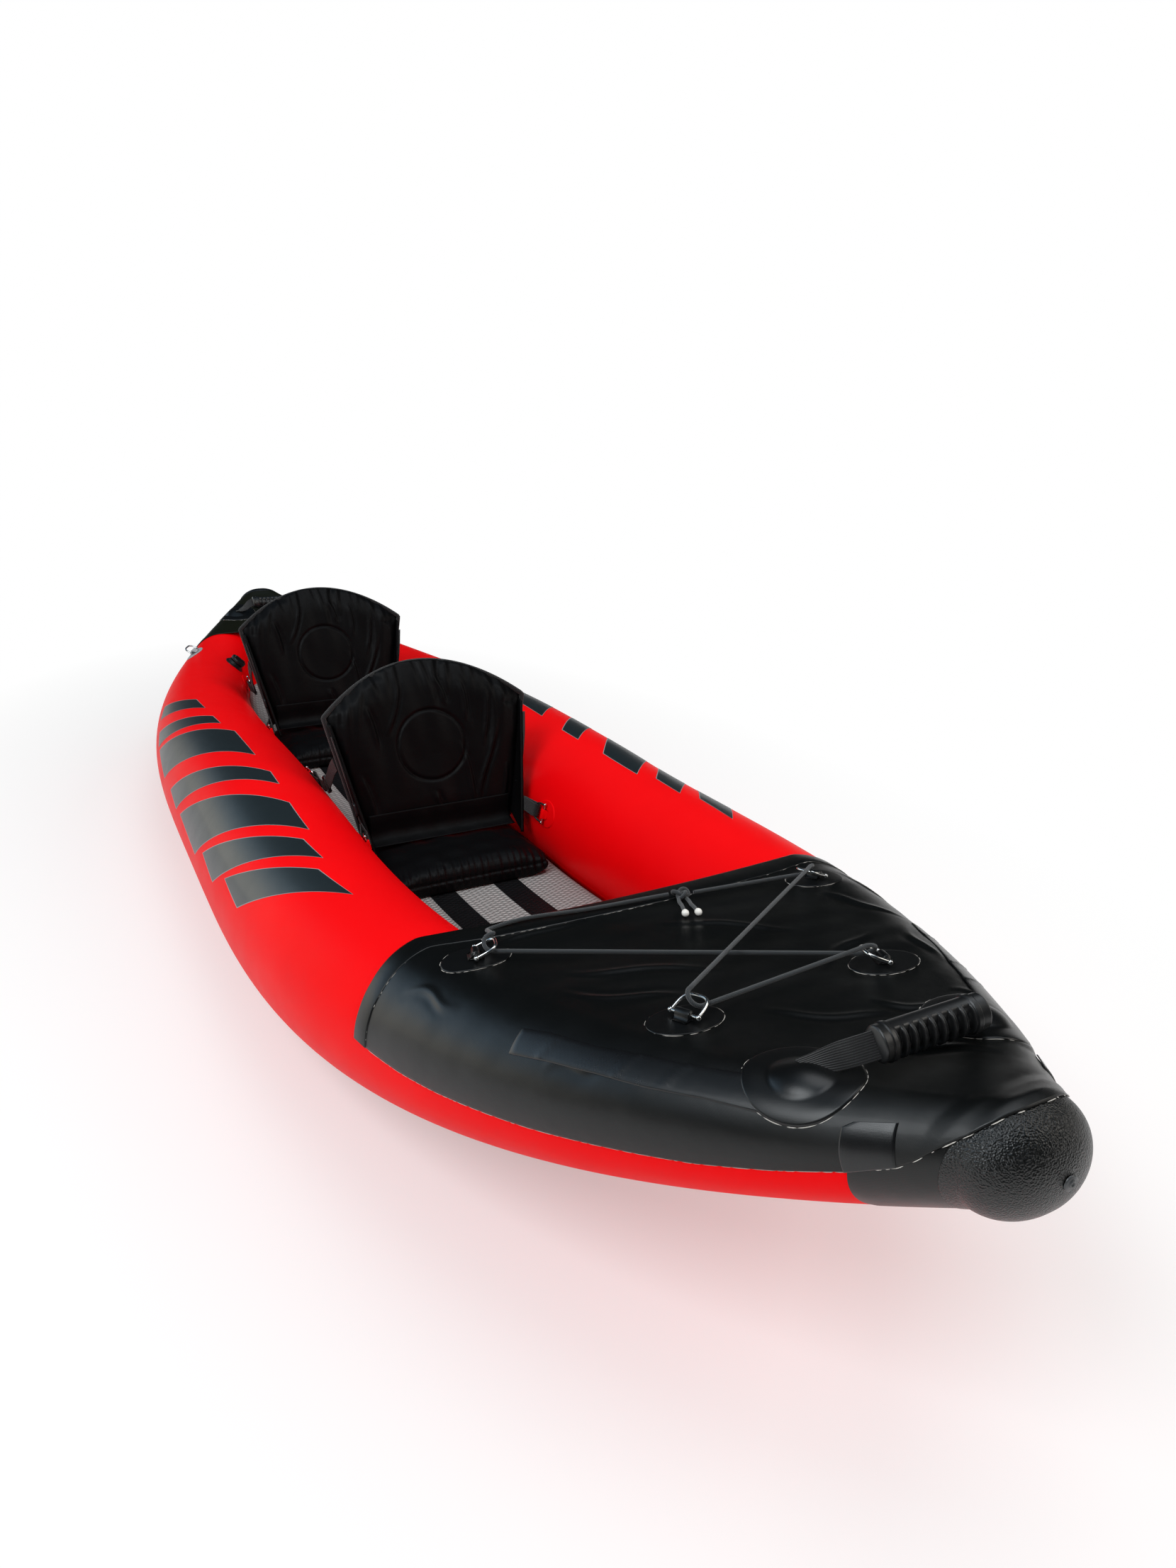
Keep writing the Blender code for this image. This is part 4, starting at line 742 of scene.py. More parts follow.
# Each kind of surface: how it is made, its material's name, its colour in the panel or by code, and settings
FINISHES = {
    "red_pvc": (
        coated_fabric, "red_pvc_coated_fabric", "red",
        {"roughness": 0.36, "wrinkles": 0.0005, "coat": 0.0, "gloss": 0.03},
    ),
    "black_pvc": (
        coated_fabric, "black_pvc_coated_fabric", "black",
        {"roughness": 0.32, "wrinkles": 0.0014, "coat": 0.05, "gloss": 0.36},
    ),
    # Black PVC of the stern deck, tinted olive as a painted sheen.
    "olive_sheen_pvc": (
        coated_fabric, "olive_black_pvc_coated_fabric", "121306",
        {"roughness": 0.4, "wrinkles": 0.001, "gloss": 0.2},
    ),
    "strip_pvc": (
        coated_fabric, "black_pvc_strip", "0A0B0D",
        {"roughness": 0.28, "wrinkles": 0.0008, "coat": 0.1, "gloss": 0.45},
    ),
    "grey_pvc": (coated_fabric, "grey_pvc_coated_fabric", "grey", {"roughness": 0.4}),
    "ink": (coated_fabric, "charcoal_printed_pvc", "print", {"roughness": 0.36, "coat": 0.2}),
    "ink_edge": (coated_fabric, "grey_print_outline", "outline", {"roughness": 0.4, "coat": 0.2}),
    "cap_rubber": (
        moulded_rubber, "grained_black_rubber", "070808",
        {"roughness": 0.34, "grain": 0.0008, "grain_size": 620.0, "gloss": 0.5},
    ),
    "patch_rubber": (
        moulded_rubber, "black_moulded_pvc", "08090A",
        {"roughness": 0.32, "grain": 0.00004, "grain_size": 1500.0, "gloss": 0.4},
    ),
    "grip_rubber": (
        moulded_rubber, "black_grip_rubber", "0E0F10",
        {"roughness": 0.36, "grain": 0.00005, "grain_size": 1800.0, "gloss": 0.6},
    ),
    "black_plastic": (
        moulded_rubber, "black_moulded_plastic", "1A1B1D",
        {"roughness": 0.38, "grain": 0.00006, "grain_size": 1200.0},
    ),
    "grey_plastic": (
        moulded_rubber, "grey_moulded_plastic", "3A3C3E",
        {"roughness": 0.35, "grain": 0.00003, "grain_size": 1500.0, "gloss": 0.5},
    ),
    "pale_bead": (
        moulded_rubber, "pale_moulded_bead", "E6E4DE",
        {"roughness": 0.3, "grain": 0.00004, "grain_size": 900.0, "gloss": 0.5},
    ),
    "nylon": (woven, "black_coated_nylon", "nylon", {}),
    "webbing": (ribbed_webbing, "black_polyester_webbing", "webbing", {}),
    # The sheath's lighter second colour is a painted highlight on its strand crests.
    "sheath": (braid, "braided_bungee_sheath", "0B0D0F", {"crest_highlight": linear("2E373D")}),
    "steel": (polished_steel, "polished_stainless_steel", "steel", {}),
    "floor": (drop_stitch, "embossed_drop_stitch_fabric", "floor", {}),
    "runner": (drop_stitch, "embossed_black_runner", "08080A", {}),
    "glue": (dried_glue, "dried_seam_glue", "8E8A83", {"pale": linear("D8D5CF")}),
}


def finish(kind):
    """The material of one kind of surface."""
    build, name, colour, settings = FINISHES[kind]
    if colour in KayakColours.__annotations__:
        return build(name, tuple(getattr(bpy.context.scene.kayak_colours, colour)), **settings)
    return build(name, linear(colour), **settings)


# Camera and cords


PHOTO_WIDTH = 1659
FOCAL_PIXELS = 1529
CAMERA_PLACE = (-0.6478, -1.9480, 0.9383)
CAMERA_YAW = 0.4828
CAMERA_PITCH = 0.3495
CAMERA_ROLL = 0.0098


def build_camera():
    """A camera at the photo's place, with its lens."""
    data = bpy.data.cameras.new("camera")
    data.sensor_fit = "HORIZONTAL"
    data.sensor_width = 36
    data.lens = data.sensor_width * FOCAL_PIXELS / PHOTO_WIDTH
    data.clip_start = 0.05
    data.clip_end = 60
    camera = add_object("camera", data)
    across, lengthwise = math.sin(CAMERA_YAW), math.cos(CAMERA_YAW)
    level = math.cos(CAMERA_PITCH)
    ahead = Vector((across * level, lengthwise * level, -math.sin(CAMERA_PITCH)))
    flat = ahead.cross(Vector((0, 0, 1))).normalized()
    upright = flat.cross(ahead)
    right = flat * math.cos(CAMERA_ROLL) + upright * math.sin(CAMERA_ROLL)
    up = upright * math.cos(CAMERA_ROLL) - flat * math.sin(CAMERA_ROLL)
    camera.matrix_world = frame_of(right, up, -ahead, Vector(CAMERA_PLACE))
    bpy.context.scene.camera = camera


DECK_SURFACE = 0.0019
RING_PLACES = {"rear": (0.246, -0.9065, math.radians(-18)), "front": (0.1287, -1.1695, math.radians(20))}
RING_TILT = math.radians(24)
RING_REACH = 0.026
RING_HALF = 0.017
KNOT_PLACE = (0.054, -0.874)
KNOT_UNIT = 0.0038
KNOT_LIFT = 0.0075
KNOT_TURN = math.radians(-20)
KNOT_HALF = 0.017
CORD = 0.005
CORD_REST = 0.004
CORD_OFF_WIRE = 0.011
CORD_STRAIGHT = 0.0135
CORD_START = ((-0.07, -0.849), (-0.1685, -0.835), (-0.2065, -0.844))
CORD_WAY = (
    ("rear", STARBOARD, True), ("front", PORT, False), ("front", STARBOARD, False), ("rear", PORT, True),
)
BEAD_UNIT = 0.0048
BEAD = (
    (0.0, 2.25), (0.3, 2.22), (0.62, 2.05), (0.9, 1.6), (1.0, 1.1), (0.92, 0.55),
    (0.7, 0.15), (0.5, 0.0), (0.0, 0.0),
)
TAIL = ((1.2, -2.6, -0.9), (1.7, -5.0, -1.1), (1.6, -8.5, -0.9), (1.9, -12.0, -0.6), (2.1, -15.5, -0.5))


def deck_ring_frame(row, side):
    """Frame of a deck ring, on its joint."""
    x, y, angle = RING_PLACES[row]
    pull = Vector((-side * math.cos(angle), math.sin(angle), 0))
    guide = place_frame(deck_place(side, x, y), side, 0.0, pull)
    return on_joint(f"{row}_{side_name(side)}_deck_ring_pivot", guide)


def cord_turn(row, side, upper_first):
    """The cord's turn round the bow of a deck ring."""
    made = deck_ring_frame(row, side)
    centre = Vector((0, RING_REACH * math.cos(RING_TILT) - 0.0025, RING_REACH * math.sin(RING_TILT)))
    above = Vector((-0.008, 0, math.sqrt(CORD_OFF_WIRE ** 2 - 0.008 ** 2)))
    inward = Vector((0, -CORD_OFF_WIRE, 0))
    turns = [math.pi * k / 8 for k in range(9)]
    points = [np.array(made @ (centre + above * math.cos(a) + inward * math.sin(a))) for a in turns]
    return points if upper_first else points[::-1]


def knot_frame():
    """Frame of the bungee's knot."""
    aft = Vector((-math.sin(KNOT_TURN), math.cos(KNOT_TURN), 0))
    x, y = KNOT_PLACE
    return place_frame(deck_place(PORT, x, y), PORT, DECK_SURFACE + KNOT_LIFT, aft)


def tail_points(side):
    """One loose end of the knot."""
    return [Vector((x * side, y, z)) * KNOT_UNIT for x, y, z in TAIL]


def straight_run(start, end):
    """Two points that keep the cord straight between two turns."""
    heading = (end - start) / np.linalg.norm(end - start) * CORD_STRAIGHT
    return [start + heading, end - heading]


def bungee_path():
    """Centre line of the laced cord."""
    made = knot_frame()
    start, end = (np.array(made @ Vector((way * KNOT_HALF, 0, 0))) for way in SIDES)
    chosen = [start] + [hull().on_deck(x, y, DECK_SURFACE + CORD_REST) for x, y in CORD_START]
    for place in CORD_WAY:
        turn = cord_turn(*place)
        chosen += straight_run(chosen[-1], turn[0]) + turn
    chosen += straight_run(chosen[-1], end) + [end]
    return spline(chosen, 0.0015)


def build_bungee():
    """The bungee cord, its knot with two tails, and their end beads."""
    path = bungee_path()
    section = circle(CORD / 2, 16)
    cord = sweep("bungee_cord_braided", path, section)
    dress(cord, "sheath", "hull", ["bungee_cord"])
    made = knot_frame()
    turns = np.linspace(0.36, 2 * math.pi - 0.36, 40)
    x, y = np.sin(turns) + 2 * np.sin(2 * turns), np.cos(turns) - 2 * np.cos(2 * turns)
    loop = np.stack([x, y, -0.9 * np.sin(3 * turns)], -1) * KNOT_UNIT
    first, last = tail_points(STARBOARD), tail_points(PORT)
    line = spline([*map(np.array, first[::-1]), *loop[::2], *map(np.array, last)], 0.0012)
    knot = sweep("bungee_knot_braided", moved(line, made), section)
    dress(knot, "sheath", "hull", ["bungee_knot"])
    for side, tail in ((STARBOARD, first), (PORT, last)):
        way = (tail[-1] - tail[-2]).normalized()
        spot = made @ Matrix.Translation(tail[-1] + way * 0.0003)
        spot = spot @ Vector((0, 0, 1)).rotation_difference(way).to_matrix().to_4x4()
        name, grid = side_name(side), turned(np.array(BEAD) * BEAD_UNIT, 24)
        bead = outward(weld(surface(f"{name}_end_bead", moved(grid, spot), True)))
        dress(bead, "pale_bead", "hull", [f"{name}_bead"])


# Hull


def build_tubes():
    """The two air tubes."""
    lines = hull()
    limit = lines.half_length + lines.end_radius * 0.97
    for side in SIDES:
        end = np.linspace(lines.half_length, limit, 9)
        middle = np.linspace(-lines.half_length, lines.half_length, 260)
        y = np.concatenate([-end[:0:-1], middle, end[1:]])
        angle = np.linspace(0, 2 * math.pi, 112, endpoint=False)
        points = lines.on_tube(side, angle[None], y[:, None])
        points[..., 0] = side * np.maximum(points[..., 0] * side, 0.0003)
        tube = surface(f"{side_name(side)}_air_tube", points, True, True, True)
        dress(outward(tube), "red_pvc", "hull", [f"{side_name(side)}_tube"])


SEAM_REACH = 1.36
SEAM_ANGLE = math.radians(-118)
SEAM_HALF_ANGLE = 0.09
SEAM_RISE = 0.0007


def build_tube_seams():
    """The welded lap seam on the inner side of each tube, over its whole length."""
    lines = hull()
    for side in SIDES:
        y = np.linspace(-SEAM_REACH, SEAM_REACH, 240)
        angle = SEAM_ANGLE + np.linspace(-SEAM_HALF_ANGLE, SEAM_HALF_ANGLE, 7)
        rise = SEAM_RISE * np.array([0, 1, 1, 1, 1, 1, 0])
        points = lines.on_tube(side, angle[None], y[:, None], rise[None])
        seam = surface(f"{side_name(side)}_tube_seam", points, away=(0, 0, -9))
        dress(seam, "red_pvc", "hull")


UNDER_BOW = (0, -1.2, -0.2)
UNDER_STERN = (0, 1.3, -0.2)
CAP_LIFT = 0.0021
EDGE_Y = (-1.48, -1.401, -1.351, -1.29, -1.238, -1.128, -1.0, -0.941, -0.881, -0.852, -0.8)
EDGE_ANGLE = (90, 92, 97, 99.5, 98.5, 96.5, 91.5, 88, 83, 80, 77)
STERN_EDGE_Y = (1.205, 1.30, 1.46)
STERN_EDGE_ANGLE = (98, 104, 98)
HEM_ANGLE = (4, 14, 23, 42, 58, 80)
HEM_RUN = (0.0, 0.006, 0.012, 0.026, 0.034, 0.041)
HEM_SAG = 0.015
FRONT_ANGLE = (5, 13, 34, 52, 62, 77, 85, 88, 92)
FRONT_Y = (-1.480, -1.479, -1.474, -1.466, -1.456, -1.442, -1.432, -1.42, -1.401)


def deck_half_arc(lines, y, stern=False):
    """Half of the deck's width measured over the tubes."""
    offset, _, wide, _ = lines.section(y)
    if stern:
        edge = np.interp(y, STERN_EDGE_Y, STERN_EDGE_ANGLE)
    else:
        edge = np.interp(y, EDGE_Y, EDGE_ANGLE)
    return offset + wide * np.radians(edge)


def bow_hem(lines, x):
    """Place of the bow deck's hem: it sags between the tubes and sweeps forward down their sides."""
    offset, _, wide, _ = lines.section(-lines.bow_edge)
    angle = np.degrees((np.abs(x) - offset) / wide)
    between = HEM_SAG * np.clip(1 - (x / offset) ** 2, 0, 1)
    return -lines.bow_edge - np.interp(angle, HEM_ANGLE, HEM_RUN) - between


def bow_front(lines, t):
    """Place of the bow deck's front edge over shares of its half width."""
    y = np.array(FRONT_Y)
    offset, _, wide, _ = lines.section(y)
    shares = (offset + wide * np.radians(FRONT_ANGLE)) / deck_half_arc(lines, y)
    return np.interp(np.abs(t), shares, y)


DECK_UNDER = 0.0016
BOW_FOLDS = (
    (0.14, -1.26, 0.175, -1.345), (0.17, -1.24, 0.2, -1.32), (0.09, -1.385, 0.15, -1.36),
    (-0.02, -1.31, 0.06, -1.385), (-0.17, -1.0, -0.03, -1.075), (0.0, -0.93, 0.11, -1.03),
    (-0.22, -0.885, -0.08, -0.862), (0.215, -0.95, 0.26, -1.06), (-0.05, -1.2, 0.045, -1.275),
    (0.225, -1.1, 0.19, -1.19), (-0.1, -1.12, -0.2, -1.05), (0.06, -1.14, 0.17, -1.09),
    (-0.33, -0.9, -0.3, -0.98), (-0.27, -1.13, -0.22, -1.18), (0.3, -0.9, 0.33, -0.99),
    (0.05, -1.24, 0.11, -1.3),
)
STERN_FOLDS = (
    (-0.1, 1.23, 0.02, 1.27), (0.05, 1.3, 0.14, 1.26), (-0.16, 1.3, -0.1, 1.38), (0.02, 1.37, 0.09, 1.4),
)


def deck_wrinkles(x, y, seed, folds):
    """Wrinkles of a stretched deck: broad waves, finer drawn ones and a few soft folds."""
    lift = 0.0007 * ripples(x, y, 0.16, seed) + 0.00028 * ripples(x * 0.55, y * 1.7, 0.05, seed + 1)
    for index, fold in enumerate(folds):
        along, off, size = beside_line(x, y, fold)
        off = off + 0.006 * np.sin(along * 2 * math.pi / size + index)
        ends = np.clip(np.minimum(along, size - along) / (0.35 * size) + 0.2, 0, 1)
        lift = lift + 0.0015 * ends * (bell(off, 0.005) - 0.5 * bell(off - 0.009, 0.006))
    return lift


def over_deck(lines, x, y, lift):
    """Points on the bow deck, which climbs over the edge of the end cap."""
    return lines.on_deck(x, y, lift + CAP_LIFT * np.clip((-1.438 - y) / 0.014, 0, 1))


def hem_places(lines, t):
    """Places of the bow deck's hem at shares of its half width."""
    return bow_hem(lines, t * deck_half_arc(lines, np.array(-lines.bow_edge - 0.03)))


HEM_PROFILE = np.array([
    (1.0, 0.0017), (0.985, 0.0026), (0.95, 0.003), (0.5, 0.0028), (0.06, 0.0029),
    (-0.02, 0.0021), (-0.04, 0.001),
    (0.02, 0.0002),
])


def build_bow_deck():
    """The bow's spray deck with its welded hem."""
    lines = hull()
    t = np.linspace(-1, 1, 300)
    s = np.linspace(0, 1, 220)[:, None]
    hem, front = hem_places(lines, t), bow_front(lines, t)
    y = front + (hem - front) * s
    x = deck_half_arc(lines, y) * t
    settle = np.clip((1 - np.abs(t)) * 6, 0, 1) * np.clip((hem - y) * 25, 0, 1)
    settle = settle * np.clip((y - front) * 20, 0, 1)
    points = over_deck(lines, x, y, DECK_UNDER + (deck_wrinkles(x, y, 3, BOW_FOLDS) + 0.0004) * settle)
    deck = surface("bow_spray_deck", points, away=UNDER_BOW)
    dress(thicken(deck, SKIN), "black_pvc", "hull", ["bow_deck"])
    band = 0.026 + 0.016 * np.clip(1 - (np.abs(t) - 0.5) / 0.4, 0, 1)
    y = hem - band * HEM_PROFILE[:, :1]
    points = lines.on_deck(deck_half_arc(lines, y) * t, y, HEM_PROFILE[:, 1:])
    dress(surface("bow_deck_hem", points, away=UNDER_BOW), "black_pvc", "hull")
    weld_line("bow_hem_weld_line", lines, t, hem - band * 1.01, 0.0021, 31, 0.0009, 0.35)


def weld_line(name, lines, t, y, lift, seed, width, fullness):
    """A thin broken line of glue across the bow deck."""
    x = deck_half_arc(lines, y) * t
    path = over_deck(lines, x, y, lift)
    up = over_deck(lines, x, y, lift + 0.001) - path
    return dress(dashes(name, path, up, width, seed, fullness), "glue", "hull")


STRIP_LIFT = 0.0023
STRIP_THICKNESS = 0.0011
SHOULDER_OUTER = ((-1.083, 50), (-1.131, 47), (-1.182, 46), (-1.229, 47), (-1.284, 46), (-1.337, 50))
SHOULDER_INNER = ((-1.073, 31), (-1.104, 27), (-1.157, 26), (-1.203, 22), (-1.247, 20), (-1.309, 15))
SHOULDER_CREASES = (-1.117, -1.198, -1.243)
CHAFE_REAR = ((-1.392, 46), (-1.387, 52), (-1.394, 75), (-1.4, 93))
CHAFE_FRONT = ((-1.419, 43), (-1.422, 52), (-1.428, 70), (-1.432, 85))


def deck_strip(name, side, rear, front, creases=()):
    """A flat strip glued on the bow deck between two edges given by place and angle."""
    lines = hull()
    share = np.linspace(0, 1, 90)
    rear, front = (read_off(share, np.linspace(0, 1, len(edge)), edge) for edge in (rear, front))
    across = np.array([0.0, 0.015, 0.05, 0.2, 0.35, 0.5, 0.65, 0.8, 0.95, 0.985, 1.0])
    rise = np.array([0.0, 0.7, 1, 1, 1, 1, 1, 1, 1, 0.7, 0.0])
    grid = rear[:, None] * (1 - across)[None, :, None] + front[:, None] * across[None, :, None]
    ends = np.clip(np.minimum(share, 1 - share) * 60, 0, 1)[:, None]
    y, angle = grid[..., 0], np.radians(grid[..., 1])
    lift = STRIP_LIFT + STRIP_THICKNESS * rise[None] * ends
    for crease in creases:
        lift = lift + 0.0008 * bell(y - crease, 0.0018) * rise[None]
    offset, _, wide, _ = lines.section(y)
    points = over_deck(lines, side * (offset + wide * angle), y, lift)
    return dress(surface(name, points, away=UNDER_BOW), "strip_pvc", "hull")


def build_bow_trim():
    """The strips on the bow deck's shoulders and the glue lines along its edges."""
    lines = hull()
    for side in SIDES:
        name = side_name(side)
        deck_strip(f"{name}_shoulder_strip", side, SHOULDER_OUTER, SHOULDER_INNER, SHOULDER_CREASES)
        deck_strip(f"{name}_chafe_strip", side, CHAFE_REAR, CHAFE_FRONT)
        y = np.linspace(-0.852, -1.401, 240)
        angle = np.radians(np.interp(y, EDGE_Y, EDGE_ANGLE) + 0.8)
        path = lines.on_tube(side, angle, y, 0.0006)
        up = lines.on_tube(side, angle, y, 0.0016) - path
        line = dashes(f"{name}_deck_edge_line", path, up, 0.001, 41 + side, 0.93)
        dress(line, "glue", "hull")
    t = np.linspace(-1, 1, 400)
    weld_line("bow_deck_front_line", lines, t, bow_front(lines, t) - 0.0008, 0.0016, 47, 0.0013, 0.5)
    t = np.linspace(-1, 1, 300)
    hem = hem_places(lines, t) + 0.0012
    parts = (("bow_hem_edge_line", t > 0.62, 53), ("bow_hem_edge_line_starboard", t < -0.62, 54))
    for name, part, seed in parts:
        weld_line(name, lines, t[part], hem[part], 0.0004, seed, 0.0008, 0.7)


STERN_HEM = np.array([
    (-0.022, 0.0016), (-0.0215, 0.0023), (-0.02, 0.0027), (-0.010, 0.0026),
    (-0.002, 0.0027), (0.0005, 0.0019),
    (0.001, 0.0009), (-0.001, 0.0002),
])


def build_stern_deck():
    """The stern's spray deck with its hem."""
    lines = hull()
    y = np.linspace(lines.stern_edge, 1.4565, 100)[:, None]
    t = np.linspace(-1, 1, 220)
    x = deck_half_arc(lines, y, True) * t
    settle = np.clip((1 - np.abs(t)) * 6, 0, 1) * np.clip((y - lines.stern_edge) * 30, 0, 1)
    lift = DECK_UNDER + (deck_wrinkles(x, y, 8, STERN_FOLDS) + 0.0004) * settle
    deck = surface("stern_spray_deck", lines.on_deck(x, y, lift), away=UNDER_STERN)
    # The olive tint of the stern deck and its hem is a painted sheen on black PVC.
    dress(thicken(deck, SKIN), "olive_sheen_pvc", "hull", ["stern_deck"])
    x = deck_half_arc(lines, np.array(lines.stern_edge), True) * t
    points = lines.on_deck(x, lines.stern_edge - STERN_HEM[:, :1], STERN_HEM[:, 1:])
    dress(surface("stern_deck_hem", points, away=UNDER_STERN), "olive_sheen_pvc", "hull")


def outline_ring(lines, y, lift, sides=48):
    """Closed outline round both tubes at one place."""
    angle = np.linspace(math.pi, 0, sides)
    left = lines.on_tube(STARBOARD, angle, np.full(sides, y), lift)
    right = lines.on_tube(PORT, angle[::-1], np.full(sides, y), lift)
    return np.vstack([left, right])


CAP_SHARE = 0.985
CAP_RIM = ((0.0004, 0.0013), (0.0, 0.0016), (0.0008, 0.0019))
WRAP_START = {"bow": 1.401, "stern": 1.383}
WRAP_END = 1.4585
WRAP_LIFT = 0.0013
RIVET = (
    (0.0, 0.0006), (0.0013, 0.0005), (0.0018, 0.0011), (0.0026, 0.0015), (0.0034, 0.0011), (0.0037, 0.0004),
    (0.0062, 0.0005), (0.0070, 0.0), (0.0072, -0.0012),
)
RIVET_OFFSET = Vector((0.004, -0.0036, 0.003))


def build_caps():
    """The grained rubber caps over both ends and the smooth wraps behind them."""
    lines = hull()
    for name, sign in (("bow", -1), ("stern", 1)):
        ends = lines.half_length + lines.end_radius * np.sin(np.linspace(0, math.pi / 2 * CAP_SHARE, 26))
        y = np.concatenate([[lines.cap_edge + run for run, _ in CAP_RIM], ends])
        lift = np.concatenate([[rise for _, rise in CAP_RIM], np.full(26, CAP_LIFT)])
        rings = np.array([outline_ring(lines, sign * place, rise) for place, rise in zip(y, lift)])
        middle = rings[-1].mean(0) + np.array([0, sign * 0.0026, 0])
        share = ((y - lines.half_length) / lines.end_radius).clip(0, 1)[:, None]
        rings[..., 1] += sign * CAP_LIFT * share
        rings = np.concatenate([rings, [rings[-1] * 0.4 + middle * 0.6, rings[-1] * 0.02 + middle * 0.98]])
        cap = surface(f"{name}_moulded_cap", rings, True, False, True)
        dress(outward(cap), "cap_rubber", "hull", [f"{name}_cap"])
        y = np.linspace(WRAP_START[name], WRAP_END, 14)
        rise = np.where(np.arange(14) == 0, 0.0004, WRAP_LIFT)
        rings = np.array([outline_ring(lines, sign * place, up) for place, up in zip(y, rise)])
        wrap = surface(f"{name}_cap_wrap", rings, True, away=(0, sign * 1.42, 0.4))
        dress(outward(wrap), "black_pvc", "hull")


def build_rivet():
    """The blind rivet and its washer in the nose of the bow cap."""
    lines = hull()
    end = lines.half_length + lines.end_radius * math.sin(math.pi / 2 * CAP_SHARE)
    nose = outline_ring(lines, -end, 0.0).mean(0)
    place = Vector((0, nose[1], nose[2])) + RIVET_OFFSET
    made = frame_of(Vector((1, 0, 0)), Vector((0, 0, 1)), Vector((0, -1, 0)), place)
    grid = moved(turned(RIVET, 40), made)
    rivet = weld(surface("bow_cap_rivet", grid, True, away=tuple(made.translation * 0.98)))
    dress(rivet, "grey_plastic", "hull")


BOTTOM_REACH = (-1.4035, 1.386)
BOTTOM_ANGLE = math.radians(162)


def build_bottom():
    """The bottom skin between and under the tubes."""
    lines = hull()
    turn = np.linspace(BOTTOM_ANGLE, math.pi, 10)
    rows = []
    for place in np.linspace(*BOTTOM_REACH, 216):
        left = lines.on_tube(STARBOARD, turn, np.full(10, place), SKIN)
        right = lines.on_tube(PORT, turn[::-1], np.full(10, place), SKIN)
        rows.append(np.vstack([left, np.linspace(left[-1], right[0], 30)[1:-1], right]))
    skin = surface("bottom_fabric", rows, away=(0, 0, 1.0))
    dress(thicken(skin, SKIN), "red_pvc", "hull", ["bottom_skin"])


FLOOR_REACH = 1.12
FLOOR_EDGE = 0.02
RUNNER_REACH = 1.05
RUNNER_SPAN = (0.037, 0.085)
RUNNER_LIFT = 0.0006


def build_floor():
    """The drop-stitch floor with its two dark runners."""
    lines = hull()
    y = np.linspace(-FLOOR_REACH, FLOOR_REACH, 160)
    half = lines.floor_half_width(y) * np.clip(0.6 + (FLOOR_REACH - np.abs(y)) * 6, 0, 1)
    bottom = lines.on_floor(0.0, y)[:, 2] - lines.floor_thickness
    turn = np.linspace(0, math.pi / 2, 7)
    rows = []
    for place, side, base in zip(y, half, bottom):
        inner, top = side - FLOOR_EDGE, base + lines.floor_thickness
        out, up = FLOOR_EDGE * np.sin(turn), FLOOR_EDGE * np.cos(turn)
        x = np.concatenate([inner + out, inner + up])
        z = np.concatenate([top - FLOOR_EDGE + up, base + FLOOR_EDGE - out])
        right = np.stack([x, np.full_like(x, place), z], -1)
        span = [(x, place, top) for x in np.linspace(-inner, inner, 40)[1:-1]]
        rows.append(np.vstack([span, right, right[::-1] * [-1, 1, 1]]))
    floor = surface("drop_stitch_floor", rows, True, True, True)
    dress(outward(floor), "floor", "hull", ["floor_panel"])
    y = np.linspace(-RUNNER_REACH, RUNNER_REACH, 140)[:, None]
    for side in SIDES:
        points = lines.on_floor(side * np.linspace(*RUNNER_SPAN, 10), y, RUNNER_LIFT)
        strip = surface(f"{side_name(side)}_floor_runner", points, away=(0, 0, -1))
        dress(strip, "runner", "hull")


# Fittings on the hull


RING_POWER = 2 / 3.5
RING_WIRE = 0.002
BALL = 0.0031
TAB_RADIUS = 0.0052
TAB_BORE = 0.0026
# Length, width, thickness and lift of the rings' patches; height and width of their tabs
DECK_PATCH = (0.062, 0.084, 0.0012, 0.0021)
TOW_PATCH = (0.062, 0.046, 0.0012, 0.0004)
SEAT_PATCH = (0.07, 0.052, 0.0014, 0.0001)
DECK_TAB = (0.0055, 0.018)
TOW_TAB = (0.0055, 0.0144)
SEAT_TAB = (0.0058, 0.018)
TOW_RING_PLACE = (math.radians(30), 1.10)
TOW_RING_TILT = math.radians(50)
TOW_RING_SCALE = 0.8
SEAT_RING_ANGLE = math.radians(-76)
SEAT_RING_TILT = math.radians(9)
SEAT_RING_Y = (-0.2, 0.215, 0.57, 0.985)


def wire_ring(name, made, tilt, scale=1.0):
    """A D-ring of round wire whose bar ends in small balls."""
    turns = np.linspace(0, math.pi, 49)
    x = RING_HALF * scale * squared(np.cos(turns), RING_POWER)
    reach = RING_REACH * scale * np.sin(turns) ** RING_POWER
    bow = np.stack([x, reach * math.cos(tilt), reach * math.sin(tilt)], -1)
    bar = np.linspace(bow[-1], bow[0], 12)[1:-1]
    path = even(np.vstack([bow, bar, bow[:1]]), 0.0012)[:-1]
    pieces = [sweep(f"{name}_wire", moved(path, made), circle(RING_WIRE, 14), closed=True)]
    profile = [(BALL * math.sin(a), BALL * math.cos(a)) for a in np.linspace(0.001, math.pi - 0.001, 9)]
    for way in (-1, 1):
        spot = made @ Matrix.Translation((way * (RING_HALF * scale + 0.0006), 0, 0))
        pieces.append(weld(surface("ball", moved(turned(profile, 14), spot), True)))
    ring = outward(joined(f"{name}_wire", pieces))
    return dress(ring, "steel", f"{name}_body", [name])


